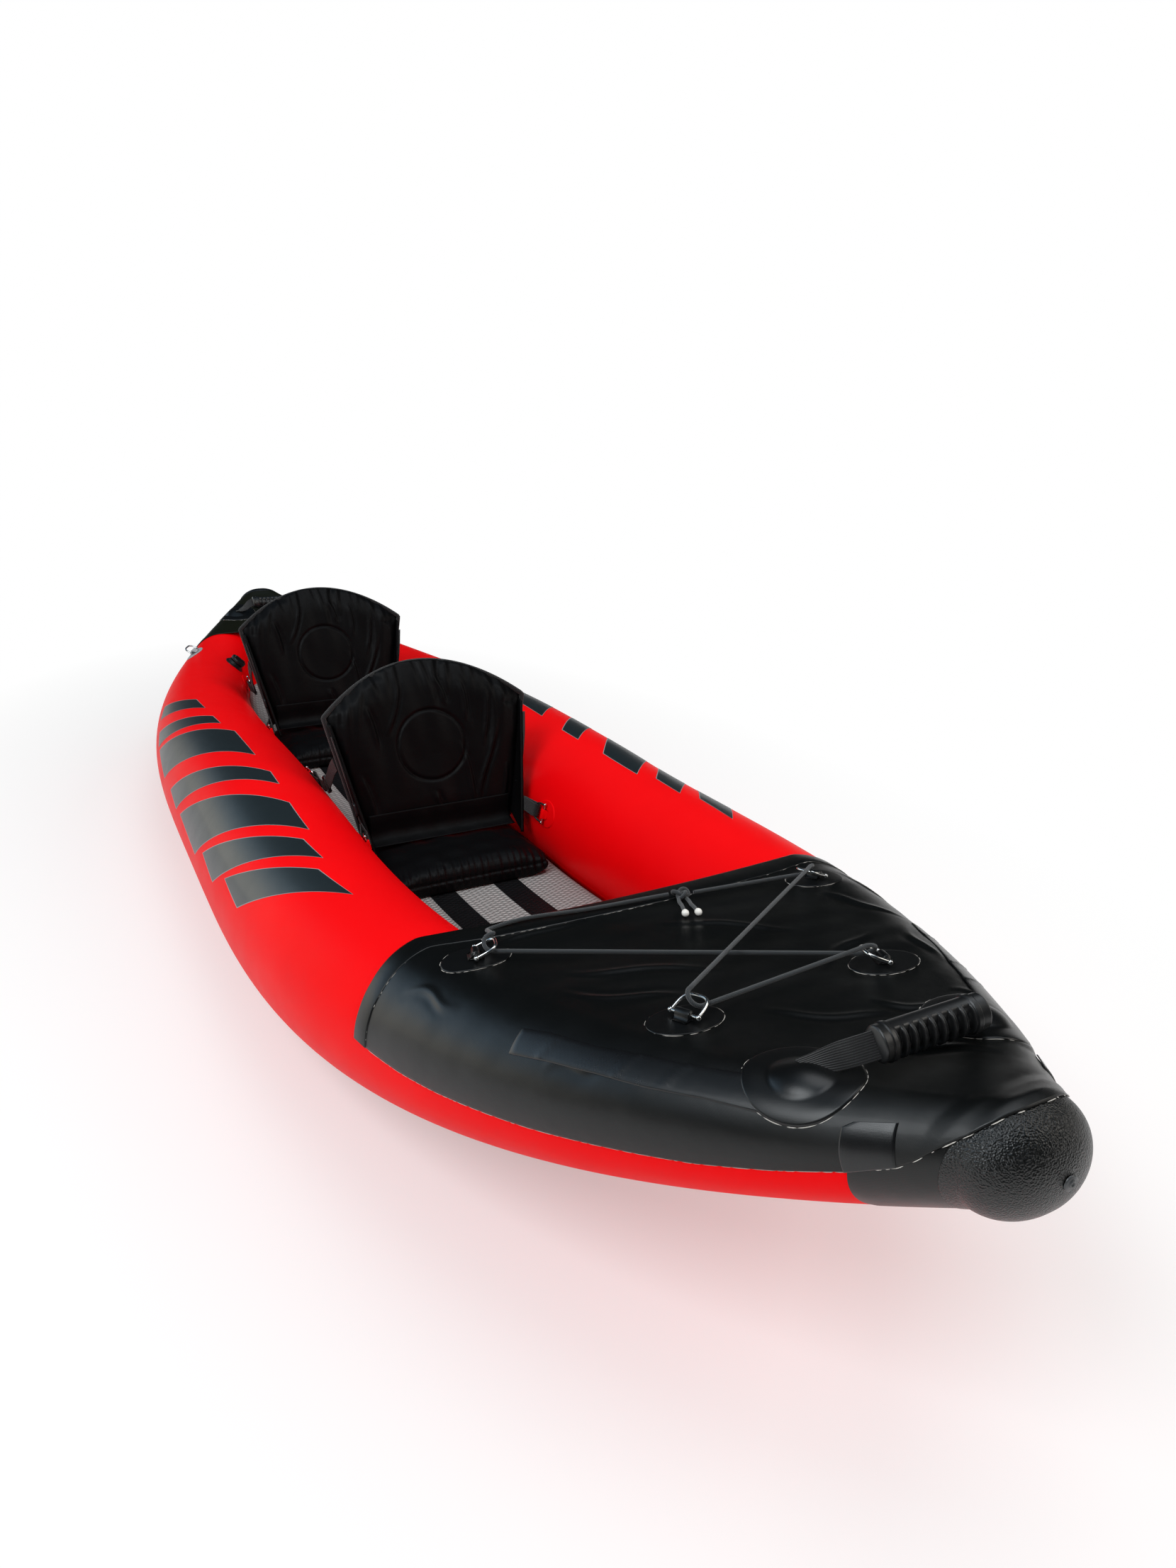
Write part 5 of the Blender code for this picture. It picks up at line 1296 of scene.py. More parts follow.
def ring_tab(name, made, foot, width):
    """The welded loop that holds a ring's bar."""
    turns = np.linspace(0, math.pi, 13)
    flare = [(1.9, -foot + 0.0006), (1.5, -foot + 0.0012), (1.15, -foot * 0.55)]
    outer = [(TAB_RADIUS * share, z) for share, z in flare]
    outer += [(TAB_RADIUS * math.cos(a), TAB_RADIUS * math.sin(a)) for a in turns]
    outer += [(-TAB_RADIUS * share, z) for share, z in flare[::-1]]
    inner = [(-TAB_BORE * math.cos(a), TAB_BORE * math.sin(a)) for a in turns]
    section = outer + [(-TAB_BORE, -foot * 0.5)] + inner + [(TAB_BORE, -foot * 0.5)]
    half, bevel = width / 2, 0.0006
    steps = ((-half, 0.97), (bevel - half, 1.0), (half - bevel, 1.0), (half, 0.97))
    rows = [[(x, y * grow, z * grow) for y, z in section] for x, grow in steps]
    return outward(surface(name, moved(rows, made), True, True, True))


def ring_base(name, made, place, patch, tab, kind, like, title="patch_fabric"):
    """An oval patch and the tab on it; the patch stands for its node unless it is part of a tube."""
    nodes = [] if like.endswith("tube") else [like]
    dress(outward(oval(f"{name}_{title}", place, *patch)), kind, "hull", nodes)
    dress(ring_tab(f"{name}_tab", made, *tab), kind, "hull")


def oval(name, place, length, width, rise, lift):
    """A thin oval patch with a soft edge, laid over a surface."""
    radius = width / 2
    profile = [(radius * share, rise) for share in (0.0, 0.2, 0.4, 0.6, 0.8, 0.93)]
    profile += [(radius - rise, rise), (radius - rise * 0.3, rise * 0.7), (radius, 0.0)]
    return surface(name, laid(turned(profile, 64, length / width), place, lift), True)


def oval_edge(place, length, width, lift, grow):
    """Path and normals just outside an oval patch."""
    turns = np.linspace(0, 2 * math.pi, 120)
    out, along = (width / 2 + grow) * np.cos(turns), (length / 2 + grow) * np.sin(turns)
    path = place(out, along, lift)
    return path, place(out, along, lift + 0.001) - path


GLUE_LIFT = 0.0022
GLUE_OFFSET = 0.0006


def build_deck_rings():
    """The four D-rings of the bungee on their oval patches."""
    for row, (x, y, _) in RING_PLACES.items():
        for side in SIDES:
            name = f"{row}_{side_name(side)}_deck"
            place = deck_place(side, x, y)
            made = deck_ring_frame(row, side)
            ring_base(name, made, place, DECK_PATCH, DECK_TAB, "patch_rubber", f"{name}_patch")
            path, up = oval_edge(place, *DECK_PATCH[:2], GLUE_LIFT, GLUE_OFFSET)
            line = dashes(f"{name}_glue_line", path, up, 0.0009, 11 + side + len(row), 0.8)
            dress(line, "glue", "hull")
            wire_ring(f"{name}_ring", made, RING_TILT)


def build_tow_rings():
    """The towing rings at the stern, on light grey patches."""
    for side in SIDES:
        place = tube_place(side, *TOW_RING_PLACE)
        guide = place_frame(place, side, 0.0, Vector((side, 1, 0)))
        made = on_joint(f"{side_name(side)}_tow_ring_pivot", guide)
        name = f"{side_name(side)}_tow"
        ring_base(name, made, place, TOW_PATCH, TOW_TAB, "grey_pvc", f"{name}_patch")
        wire_ring(f"{name}_ring", made, TOW_RING_TILT, TOW_RING_SCALE)


def seat_ring_frame(side, index):
    """Frame of a seat ring, on its joint."""
    pull = Vector((0, 1 if index % 2 == 0 else -1, 0))
    guide = place_frame(tube_place(side, SEAT_RING_ANGLE, SEAT_RING_Y[index]), side, 0.0, pull)
    return on_joint(f"{side_name(side)}_seat_ring_{index + 1}_pivot", guide)


def build_seat_rings():
    """The eight D-rings for the seats' straps, on red pads inside the tubes."""
    for side in SIDES:
        for index, y in enumerate(SEAT_RING_Y):
            name = f"{side_name(side)}_seat_ring_{index + 1}"
            made = seat_ring_frame(side, index)
            place, tube = tube_place(side, SEAT_RING_ANGLE, y), f"{side_name(side)}_tube"
            ring_base(name, made, place, SEAT_PATCH, SEAT_TAB, "red_pvc", tube, "pad")
            wire_ring(name, made, SEAT_RING_TILT)


HANDLE_LEAN = math.radians(50)
SPINE_ANGLE = math.radians(135)
FINGER_ANGLE = math.radians(-52)


def handle_frame(end):
    """Frame of a carry handle: X through both roots and Z up its leaning arch."""
    up = Vector((0, -math.sin(HANDLE_LEAN), math.cos(HANDLE_LEAN)))
    return frame_of(Vector((1, 0, 0)), up.cross(Vector((1, 0, 0))), up, joint_place(f"{end}_handle_swing"))


ARCH = 0.042
ROOT_HEIGHT = 0.0081
DOME_RADIUS = 0.031
DOME_RISE = 0.0075
DOME_BASE = 0.0016
HANDLE_RIM = ((0.0335, 0.0016), (0.042, 0.0016), (0.0515, 0.0016), (0.0535, 0.0012), (0.054, 0.0))
STRAP_WIDTH = 0.025
STRAP_THICKNESS = 0.0022
GRIP_HALF_HEIGHT = 0.01425
GRIP_HALF_WIDTH = 0.017
GRIP_COLLAR = 0.016
GRIP_SLOTS = 8
GRIP_SHIFT = 0.008
GRIP_LENGTH = 0.124
HANDLE_PATCHES = {"bow": (0.105, -1.3235), "stern": (0.0984, 1.345)}


def grip_centre(x):
    """Centre line of the grip."""
    way = (x - GRIP_SHIFT) / (GRIP_LENGTH / 2)
    return np.array([x, 0.0, ARCH - 0.007 * max(0.0, 1 - way ** 2)])


def handle_root(end):
    """Sideways place where the webbing is held."""
    place = deck_place(PORT, *HANDLE_PATCHES[end])
    return place_frame(place, PORT, ROOT_HEIGHT, Vector((0, 1, 0))).translation.x


def webbing_path(end):
    """Centre line and width directions of a handle's webbing, in its frame."""
    root = handle_root(end)
    ends = (GRIP_SHIFT - GRIP_LENGTH / 2, GRIP_SHIFT + GRIP_LENGTH / 2)
    shares = ((0.0, 0.0), (0.28, 0.08), (0.56, 0.36), (0.78, 0.78))
    rise = [np.array([-root + (ends[0] + root) * a, 0, ARCH * u]) for a, u in shares]
    fall = [np.array([root + (ends[1] - root) * a, 0, ARCH * u]) for a, u in shares]
    through = [grip_centre(ends[0] + (ends[1] - ends[0]) * k / 4) for k in range(5)]
    path = spline(rise + through + fall[::-1], 0.002)
    flat = np.array([0, math.cos(HANDLE_LEAN), -math.sin(HANDLE_LEAN)])
    way = np.clip(path[:, 2:] / (ARCH * 2 / 3), 0, 1)
    return path, flat * (1 - way) + np.array([0, 1.0, 0]) * way


def smooth(value):
    """Smooth step from 0 to 1."""
    value = min(1.0, max(0.0, value))
    return value * value * (3 - 2 * value)


def grip_grid():
    """Points of the grip: three flats with round corners, finger grooves and two collars."""
    start = GRIP_SHIFT - GRIP_LENGTH / 2
    slotted = GRIP_LENGTH - 2 * GRIP_COLLAR
    pitch = slotted / GRIP_SLOTS
    turns = np.linspace(0, 2 * math.pi, 72, endpoint=False)
    rows = []
    for s in np.linspace(0, GRIP_LENGTH, 260):
        centre = grip_centre(start + s)
        inside = min(max(s - GRIP_COLLAR, 0.0), slotted)
        wave_at = abs(math.sin(math.pi * inside / pitch))
        groove = 0.0052 * smooth((wave_at - 0.42) / 0.3) - 0.0006 * math.exp(-((wave_at - 0.3) / 0.12) ** 2)
        groove *= float(GRIP_COLLAR < s < GRIP_LENGTH - GRIP_COLLAR)
        ends = min(s, GRIP_LENGTH - s)
        close = 1 - 0.16 * max(0.0, 1 - ends / 0.0022) ** 2
        lip = 0.0011 if 0.0105 < ends < 0.0155 else 0.0
        finger = np.clip(2.6 * (np.cos(turns - FINGER_ANGLE) - 0.12), 0, 1)
        spine = bell(np.mod(turns - SPINE_ANGLE + math.pi, 2 * math.pi) - math.pi, 0.3)
        radius = 1 - (groove * finger - lip) / GRIP_HALF_HEIGHT + 0.05 * spine
        across = GRIP_HALF_WIDTH * np.sin(turns) * radius * close
        up = GRIP_HALF_HEIGHT * np.cos(turns) * radius * close
        rows.append(np.stack([np.full(72, centre[0]), across, centre[2] + up], -1))
    return np.array(rows)


def build_handles():
    """The carry handles: round patches with domes, twisted webbing and moulded grips."""
    profile = [(0.0, DOME_BASE + DOME_RISE)]
    for s in np.linspace(0.1, 1.0, 12):
        profile.append((DOME_RADIUS * s, DOME_BASE + DOME_RISE * math.cos(s * math.pi / 2) ** 0.85))
    profile += HANDLE_RIM
    section = flat_section(STRAP_WIDTH, STRAP_THICKNESS, 36, 0.15)
    for end in HANDLE_PATCHES:
        for side in SIDES:
            place = deck_place(side, *HANDLE_PATCHES[end])
            grid = turned(profile, 72)
            name = f"{end}_{side_name(side)}_handle_patch"
            patch = surface(f"{name}_rubber", laid(grid, place, 0.0021), True)
            nodes, like = ([name], name) if end == "bow" else ([], "stern_deck")
            dress(outward(weld(patch)), "patch_rubber", "hull", nodes)
            width = 2 * HANDLE_RIM[-1][0]
            path, up = oval_edge(place, width, width, GLUE_LIFT, GLUE_OFFSET)
            line = dashes(f"{name}_glue_line", path, up, 0.0011, 21 + side, 0.8)
            dress(line, "glue", "hull")
        made = handle_frame(end)
        path, across = webbing_path(end)
        turn = np.array(made.to_3x3())
        strap = sweep(f"{end}_handle_strap", moved(path, made), section, across @ turn.T)
        dress(strap, "webbing", None, [f"{end}_handle_webbing"])
        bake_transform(strap)
        grip = surface(f"{end}_moulded_grip", moved(grip_grid(), made), True, True, True)
        dress(outward(grip), "grip_rubber", f"{end}_handle", [f"{end}_handle_grip"])


VALVE_PLACE = (math.radians(-45), 1.02)
FLOOR_VALVE_Y = 1.0
VALVE_BASE = (
    (0.0, 0.0085), (0.0185, 0.0085), (0.0195, 0.0078), (0.0195, 0.003), (0.0205, 0.0019), (0.0262, 0.0018),
    (0.027, 0.001), (0.027, 0.0),
)
VALVE_CAP = (
    (0.0, 0.0072), (0.012, 0.0074), (0.0178, 0.008), (0.0197, 0.0078), (0.0205, 0.0068), (0.0205, 0.0006),
    (0.0198, 0.0),
)
KNURLS = 30
CAP_BAR_HALF = 0.015
CAP_BAR = (
    (-0.003, 0.0), (-0.0026, 0.0042), (-0.0016, 0.005), (0.0016, 0.005), (0.0026, 0.0042), (0.003, 0.0),
)


def build_valves():
    """The inflation valves of the tubes and the floor."""
    lines = hull()
    for name, side, place in (
        ("starboard_tube", STARBOARD, tube_place(STARBOARD, *VALVE_PLACE)),
        ("port_tube", PORT, tube_place(PORT, *VALVE_PLACE)),
        (
            "floor", PORT,
            lambda out, along, lift: lines.on_floor(out, FLOOR_VALVE_Y + np.asarray(along), lift),
        ),
    ):
        base = surface(f"{name}_valve_flange", laid(turned(VALVE_BASE, 56), place, 0.0005), True)
        dress(outward(weld(base)), "black_plastic", "hull", [f"{name}_valve_base"])
        guide = place_frame(place, side, 0.0, Vector((0, -1, 0)))
        guide.translation = joint_place(f"{name}_valve_cap_turn")
        grid = turned(VALVE_CAP, KNURLS * 4)
        grid[4:6, :, :2] *= (1 - 0.018 * (np.arange(KNURLS * 4) % 4 < 2))[None, :, None]
        cap = weld(surface("cap", moved(grid, guide), True, False, True))
        rows = [
            [(x, y * min(1, (CAP_BAR_HALF + 0.0005 - abs(x)) * 400), VALVE_CAP[0][1] + z) for y, z in CAP_BAR]
            for x in np.linspace(-CAP_BAR_HALF, CAP_BAR_HALF, 24)
        ]
        bar = surface("bar", moved(rows, guide), True, True, True)
        knob = outward(joined(f"{name}_valve_screw_cap", [outward(cap), outward(bar)]))
        knob.data.set_sharp_from_angle(angle=math.radians(35))
        dress(knob, "black_plastic", f"{name}_cap_body", [f"{name}_valve_cap"])


# Printed panels


def panel(name, side, corners, lift, grow, kind):
    """A printed four-cornered panel laid on a tube: places along the boat and angles from the crest."""
    lines = hull()
    corners = np.asarray(corners, float)
    middle = corners.mean(0)
    reach = lines.tube_radius
    flat = np.stack([corners[:, 0], np.radians(corners[:, 1]) * reach], -1)
    if grow:
        flat = grown(flat, grow)
    s, t = np.meshgrid(np.linspace(0, 1, 30), np.linspace(0, 1, 30), indexing="ij")
    a, b, c, d = flat
    mesh = (
        a * ((1 - s) * (1 - t))[..., None] + b * (s * (1 - t))[..., None]
        + c * (s * t)[..., None] + d * ((1 - s) * t)[..., None]
    )
    points = lines.on_tube(side, mesh[..., 1] / reach, mesh[..., 0], lift)
    made = surface(name, points, away=(side * 0.3, middle[0], 0.14))
    return dress(made, kind, "hull")


def grown(corners, grow):
    """A polygon with its edges moved out."""
    result = []
    count = len(corners)
    area = sum(a[0] * b[1] - a[1] * b[0] for a, b in zip(corners, np.roll(corners, -1, 0)))
    for k in range(count):
        before, here, after = corners[k - 1], corners[k], corners[(k + 1) % count]
        one, two = here - before, after - here
        one, two = one / np.linalg.norm(one), two / np.linalg.norm(two)
        n1 = np.array([one[1], -one[0]]) * np.sign(area)
        n2 = np.array([two[1], -two[0]]) * np.sign(area)
        way = n1 + n2
        way /= max(np.dot(way, n1), 0.35)
        result.append(here + way * grow)
    return np.array(result)


OUTLINE_WIDTH = 0.0016
BARS = (
    ((-0.62, 6), (-0.50, 10), (-0.30, 62), (-0.40, 66)),
    ((-0.46, 2), (-0.37, 4), (-0.14, 70), (-0.24, 74)),
    ((-0.33, -4), (-0.20, -4), (0.10, 76), (-0.08, 80)),
    ((-0.10, -6), (-0.03, -6), (0.24, 74), (0.15, 78)),
    ((0.08, -4), (0.26, -2), (0.50, 70), (0.34, 76)),
    ((0.34, 4), (0.41, 6), (0.60, 64), (0.53, 70)),
    ((0.50, 8), (0.60, 12), (0.74, 52), (0.68, 60)),
)


def build_panels():
    """Printed slanted bars with a thin light outline on both tubes."""
    for side in SIDES:
        for index, corners in enumerate(BARS):
            name = f"{side_name(side)}_print_edge_{index + 1}"
            panel(name, side, corners, 0.00025, OUTLINE_WIDTH, "ink_edge")
            panel(f"{side_name(side)}_print_{index + 1}", side, corners, 0.0004, 0.0, "ink")


# Seats


def apply_modifiers(made):
    """Bake an object's modifiers into its mesh."""
    view = bpy.context.evaluated_depsgraph_get()
    mesh = bpy.data.meshes.new_from_object(made.evaluated_get(view), depsgraph=view)
    made.modifiers.clear()
    old = made.data
    made.data = mesh
    bpy.data.meshes.remove(old)
    return made


def vertex_places(mesh):
    """A mesh's points."""
    values = np.empty(len(mesh.vertices) * 3)
    mesh.vertices.foreach_get("co", values)
    return values.reshape(-1, 3)


def inflate(made, voxel, reach, along=None):
    """Let a sewn shell swell under pressure as a stuffed pad does.

    Every point's move is capped, or kept along a line.
    """
    remesh = made.modifiers.new("even_cloth", "REMESH")
    remesh.mode = "VOXEL"
    remesh.voxel_size = voxel
    apply_modifiers(made)
    before = vertex_places(made.data)
    cloth = made.modifiers.new("stuffing", "CLOTH")
    cloth.settings.quality = 5
    cloth.settings.mass = 0.15
    cloth.settings.use_pressure = True
    cloth.settings.uniform_pressure_force = 4.0
    cloth.settings.effector_weights.gravity = 0.0
    for step in range(1, 21):
        bpy.context.scene.frame_set(step)
    apply_modifiers(made)
    move = vertex_places(made.data) - before
    if along is not None:
        move = (move @ along)[:, None] * along
    size = np.linalg.norm(move, axis=1)[:, None]
    move *= np.minimum(1.0, reach / np.maximum(size, 1e-9))
    made.data.vertices.foreach_set("co", (before + move).ravel())
    bpy.context.scene.frame_set(1)
    finer = made.modifiers.new("finer", "SUBSURF")
    finer.levels = finer.render_levels = 1
    apply_modifiers(made)
    made.data.shade_smooth()
    return made


def push(made, shift):
    """Move a mesh's points by a function of their places and normals."""
    places = vertex_places(made.data)
    normals = np.empty(len(made.data.vertices) * 3)
    made.data.vertices.foreach_get("normal", normals)
    made.data.vertices.foreach_set("co", (places + shift(places, normals.reshape(-1, 3))).ravel())
    made.data.update()
    return made


def copy_of(made, name, move):
    """A copy of a finished piece, moved."""
    mesh = made.data.copy()
    mesh.name = name
    mesh.transform(Matrix.Translation(move))
    return add_object(name, mesh)


LEAN = math.radians(17)
FORWARD = np.array([0.0, -math.cos(LEAN), math.sin(LEAN)])
UPWARD = np.array([0.0, math.sin(LEAN), math.cos(LEAN)])
BACK_FOOT = 0.15
BACK_WIDEST = 0.2
BACK_SHOULDER = 0.235
BACK_ARCH = 0.09
BACK_WRAP = 0.03
BACK_FRONT = 0.0125
BACK_REAR = 0.0035
BACK_PIPING = 0.008
CIRCLE_HEIGHT = 0.16
CIRCLE_RADIUS = 0.067
PLEATS = 15


def floor_height(y):
    """Height of the floor's top."""
    return float(hull().on_floor(0.0, y)[2])


def hinge_place(seat):
    """The sewn hinge between a cushion and its backrest, on its joint."""
    return joint_place(f"{seat}_backrest_tilt")


def back_half_width(height):
    """Half width of the backrest at a height: it widens up to its shoulders."""
    return BACK_FOOT + (BACK_WIDEST - BACK_FOOT) * np.minimum(1.0, height / BACK_SHOULDER)


def back_top(across):
    """Height of the backrest's arch, from -1 to 1 across."""
    return BACK_SHOULDER + BACK_ARCH * (1 - across ** 2)


def back_point(across, up, depth):
    """A point of the backrest in its hinge's frame: across from -1 to 1, up from 0 to 1, depth forward."""
    height = up * back_top(across)
    forward = BACK_WRAP * across ** 2 * height / BACK_SHOULDER + depth
    y = height * math.sin(LEAN) - forward * math.cos(LEAN)
    z = height * math.cos(LEAN) + forward * math.sin(LEAN)
    return np.stack(np.broadcast_arrays(across * back_half_width(height), y, z), -1)


BACK_FOLDS = (
    (0.062, 0.155, 0.083, 0.035), (0.137, 0.185, 0.086, 0.04), (-0.045, 0.275, -0.075, 0.19),
    (0.03, 0.29, 0.042, 0.235), (0.075, 0.28, 0.08, 0.2), (0.125, 0.25, 0.112, 0.15),
    (-0.115, 0.245, -0.1, 0.17), (0.15, 0.1, 0.135, 0.03), (-0.14, 0.12, -0.12, 0.04),
    (0.0, 0.07, 0.01, 0.02),
)


def back_fullness(across, up):
    """Depth of the unstuffed backrest's front over its rim."""
    edge = np.clip(np.minimum.reduce([3 * (1 - np.abs(across)), 5 * up, 5 * (1 - up)]), 0, 1)
    return 0.018 * np.sin(edge * math.pi / 2)


def back_sewing(x, rise):
    """Depth of the backrest's sewn circle, of the pleats under its piping and of its creases."""
    distance = np.hypot(x, rise - CIRCLE_HEIGHT)
    depth = -0.0042 * bell(distance - CIRCLE_RADIUS, 0.0028) + 0.0016 * ripples(x, rise * 0.5, 0.05, 61)
    under = np.clip(back_top(np.clip(x / BACK_WIDEST, -1, 1)) - rise, 0, None)
    rng = np.random.default_rng(17)
    for place in np.linspace(-0.175, 0.175, PLEATS):
        place += rng.uniform(-0.006, 0.006)
        slope, size, run = rng.uniform(-0.25, 0.25), rng.uniform(0.5, 1.0), rng.uniform(0.035, 0.085)
        off = x - place - slope * under
        fade = bell(under, run) * np.clip((distance - 0.06) / 0.03, 0.35, 1)
        depth += 0.0032 * size * fade * (bell(off, 0.0055) - 0.9 * bell(off - 0.011, 0.0055))
    for fold in BACK_FOLDS:
        along, off, size = beside_line(x, rise, fold)
        off = off + 0.003 * np.sin(along * 40)
        ends = np.clip(np.minimum(along, size - along) / (0.3 * size) + 0.25, 0, 1)
        depth += 0.0036 * ends * (bell(off - 0.006, 0.005) - bell(off, 0.0045))
    return depth


def sew_back(made, hinge):
    """Draw the backrest's stuffed face in at its seams."""
    def shift(places, normals):
        """Depth of the sewing on the front face only."""
        local = places - np.array(hinge)
        facing = np.clip((normals @ FORWARD - 0.35) / 0.3, 0, 1)
        return (back_sewing(local[:, 0], local @ UPWARD) * facing)[:, None] * FORWARD

    return push(made, shift)


def build_backrests():
    """The padded backrests: sewn shells swollen by their foam, with piping round their edges."""
    columns, levels = np.linspace(-1, 1, 121), np.linspace(0, 1, 101)
    across, up = np.meshgrid(columns, levels)
    front = back_point(across, up, BACK_FRONT + back_fullness(across, up))
    rear = back_point(across, up, BACK_REAR)
    hinge = hinge_place("front")
    rim = np.concatenate([front, rear[:, ::-1]], 1)
    made = surface("front_backrest_padding", moved(rim, Matrix.Translation(hinge)), True, True, True)
    sew_back(inflate(outward(weld(made)), 0.005, 0.0075, FORWARD), hinge)
    twin = copy_of(made, "rear_backrest_padding", hinge_place("rear") - hinge)
    up, over = np.linspace(0, 0.99, 40), np.linspace(-0.988, 0.988, 80)
    way = [(over[0], t) for t in up] + [(t, up[-1]) for t in over[1:-1]] + [(over[-1], t) for t in up[::-1]]
    edge = even([back_point(*place, BACK_PIPING) for place in way], 0.004)
    for seat, padding in (("front", made), ("rear", twin)):
        dress(padding, "nylon", f"{seat}_back", [f"{seat}_backrest"])
        place = Matrix.Translation(hinge_place(seat))
        piping = sweep(f"{seat}_backrest_piping", moved(edge, place), circle(0.0048, 12))
        dress(piping, "webbing", f"{seat}_back")
        build_hinge_flap(seat)


FLAP = (
    (-0.052, 0.0012), (-0.042, 0.0032), (-0.032, 0.0066), (-0.0262, 0.016), (-0.0255, 0.028),
    (-0.0262, 0.042),
    (-0.0255, 0.054),
)
FLAP_WIDTH = 0.284


def build_hinge_flap(seat):
    """The strip of nylon sewn over the hinge between a cushion and its backrest."""
    hinge = hinge_place(seat)
    line = spline([(0.0, y, z) for y, z in FLAP], 0.003)
    x = np.linspace(-FLAP_WIDTH / 2, FLAP_WIDTH / 2, 60)
    share = np.linspace(0, 1, len(line))[:, None]
    y = line[:, 1:2] - 0.0012 * np.sin(x / 0.011 + 2 * np.sin(x * 31)) * share * (1 - share) * 4
    z = line[:, 2:3] + 0.001 * np.sin(x / 0.009) * share * (1 - share) * 4
    grid = moved(np.stack(np.broadcast_arrays(x, y, z), -1), Matrix.Translation(hinge))
    flap = surface(f"{seat}_hinge_flap", grid, away=tuple(hinge + Vector((0, 0.05, -0.05))))
    apply_modifiers(thicken(flap, 0.001))
    dress(flap, "nylon", None)
    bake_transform(flap)


CUSHION_SHARES = (
    (0.0, 0.86, 0.45), (0.03, 0.95, 0.95), (0.14, 0.99, 1.06), (0.35, 1.0, 1.1),
    (0.6, 1.0, 1.04), (0.76, 0.99, 0.95), (0.9, 0.97, 0.72), (1.0, 0.92, 0.4),
)


def cushion_rows(shift):
    """Points of an unstuffed seat base."""
    table = np.array(CUSHION_SHARES)
    run = np.linspace(0, 1, 90)
    width = np.interp(run, table[:, 0], table[:, 1])
    tall = np.interp(run, table[:, 0], table[:, 2])
    turns = np.linspace(0, 2 * math.pi, 160, endpoint=False)
    rows = []
    for share_at, w, h in zip(run, width, tall):
        y = -0.281 + 0.253 * share_at + shift
        x = squared(np.sin(turns), 0.35) * 0.161 * w
        lift = squared(np.cos(turns), 0.5)
        crown = 0.034 + 0.012 * (1 - (x / 0.166) ** 2)
        z = np.where(lift > 0, 0.45 + 0.5 * lift, 0.45 + 0.4 * lift) * crown * h
        rows.append(np.stack([x, np.full_like(x, y), floor_height(y) + z], -1))
    return rows


def gather_cushion(made, shift):
    """Draw a cushion's cover into gathers over its front edge and into a seam round its side."""
    rng = np.random.default_rng(29)
    marks = np.cumsum(rng.uniform(0.008, 0.017, 30)) - 0.19
    sizes = rng.uniform(0.4, 1.0, 30)

    def wrinkle(places, normals):
        """Gathers over the front, and broad dents on the top."""
        x, y, z = places.T
        run = y - shift + 0.285
        front = bell(np.clip(run, 0, None), 0.035)
        depth = np.zeros(len(x))
        for mark, size in zip(marks, sizes):
            off = x - mark - 0.15 * run
            depth += 0.0034 * size * (bell(off, 0.0035) - 0.8 * bell(off - 0.006, 0.004))
        level = np.array([floor_height(v) for v in np.linspace(-0.3, 0.0, 31) + shift])
        base = np.interp(y, np.linspace(-0.3, 0.0, 31) + shift, level)
        above = np.clip((z - base - 0.006) / 0.01, 0, 1)
        dents = 0.0022 * ripples(x, run, 0.07, 33)
        seam = -0.0028 * bell(z - base - 0.024, 0.0024) * (np.abs(normals[:, 2]) < 0.75)
        down = np.clip(normals[:, 2], 0, 1)
        return ((depth * front + dents * down + seam) * above)[:, None] * normals

    return push(made, wrinkle)


def rest_on_floor(made):
    """Press a cushion's underside flat on the floor."""
    def press(places, normals):
        """Lift what is under the floor's top."""
        base = np.array([floor_height(v) for v in np.linspace(-0.4, 1.0, 281)])
        need = np.interp(places[:, 1], np.linspace(-0.4, 1.0, 281), base) + 0.0006 - places[:, 2]
        return np.maximum(need, 0)[:, None] * np.array([0.0, 0.0, 1.0])
    return push(made, press)


def build_cushions():
    """The padded seat bases, swollen by their foam and gathered at their front edges."""
    for seat, shift in SEATS:
        made = surface(f"{seat}_cushion_padding", cushion_rows(shift), True, True, True)
        gather_cushion(inflate(outward(made), 0.0055, 0.005), shift)
        rest_on_floor(made)
        dress(made, "nylon", "hull", [f"{seat}_cushion"])
        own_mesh(made)


def rim_point(side, height, out, depth):
    """A point beside the backrest's rim, in its hinge's frame."""
    return Vector(back_point(np.float64(side), height / 0.235, depth)) + Vector((side * out, 0, 0))


def wing_corners(side):
    """Corners of a side wing, in the hinge's frame: foot, top and front tip."""
    foot = rim_point(side, 0.02, -0.008, 0.0075)
    top = rim_point(side, 0.228, -0.008, 0.0075)
    return foot, top, Vector((side * 0.146, -0.078, -0.0095))


def build_wings(seat):
    """The fabric side wings between a backrest and its cushion."""
    for side in SIDES:
        foot, top, tip = wing_corners(side)
        normal = (top - foot).cross(tip - foot).normalized()
        if normal.x * side < 0:
            normal = -normal
        rows = []
        for a in np.linspace(0, 1, 40):
            rear = foot.lerp(top, a)
            front = tip.lerp(top + (tip - foot) * 0.14, a)
            line = []
            for b in np.linspace(0, 1, 24):
                belly = 0.002 * math.sin(b * math.pi) * math.sin(a * math.pi)
                line.append(rear.lerp(front, b) + normal * belly)
            rows.append(line)
        name = f"{seat}_{side_name(side)}"
        hinge = Matrix.Translation(hinge_place(seat))
        wing = surface(f"{name}_side_wing", moved(rows, hinge))
        thicken(wing, 0.0016, 0.0)
        dress(wing, "nylon", None, [f"{name}_gusset"])
        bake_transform(wing)
        edge = [row[-1] for row in rows]
        piping = sweep(f"{name}_wing_piping", moved(even(edge, 0.004), hinge), circle(0.0032, 10))
        dress(piping, "nylon", None)
        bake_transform(piping)


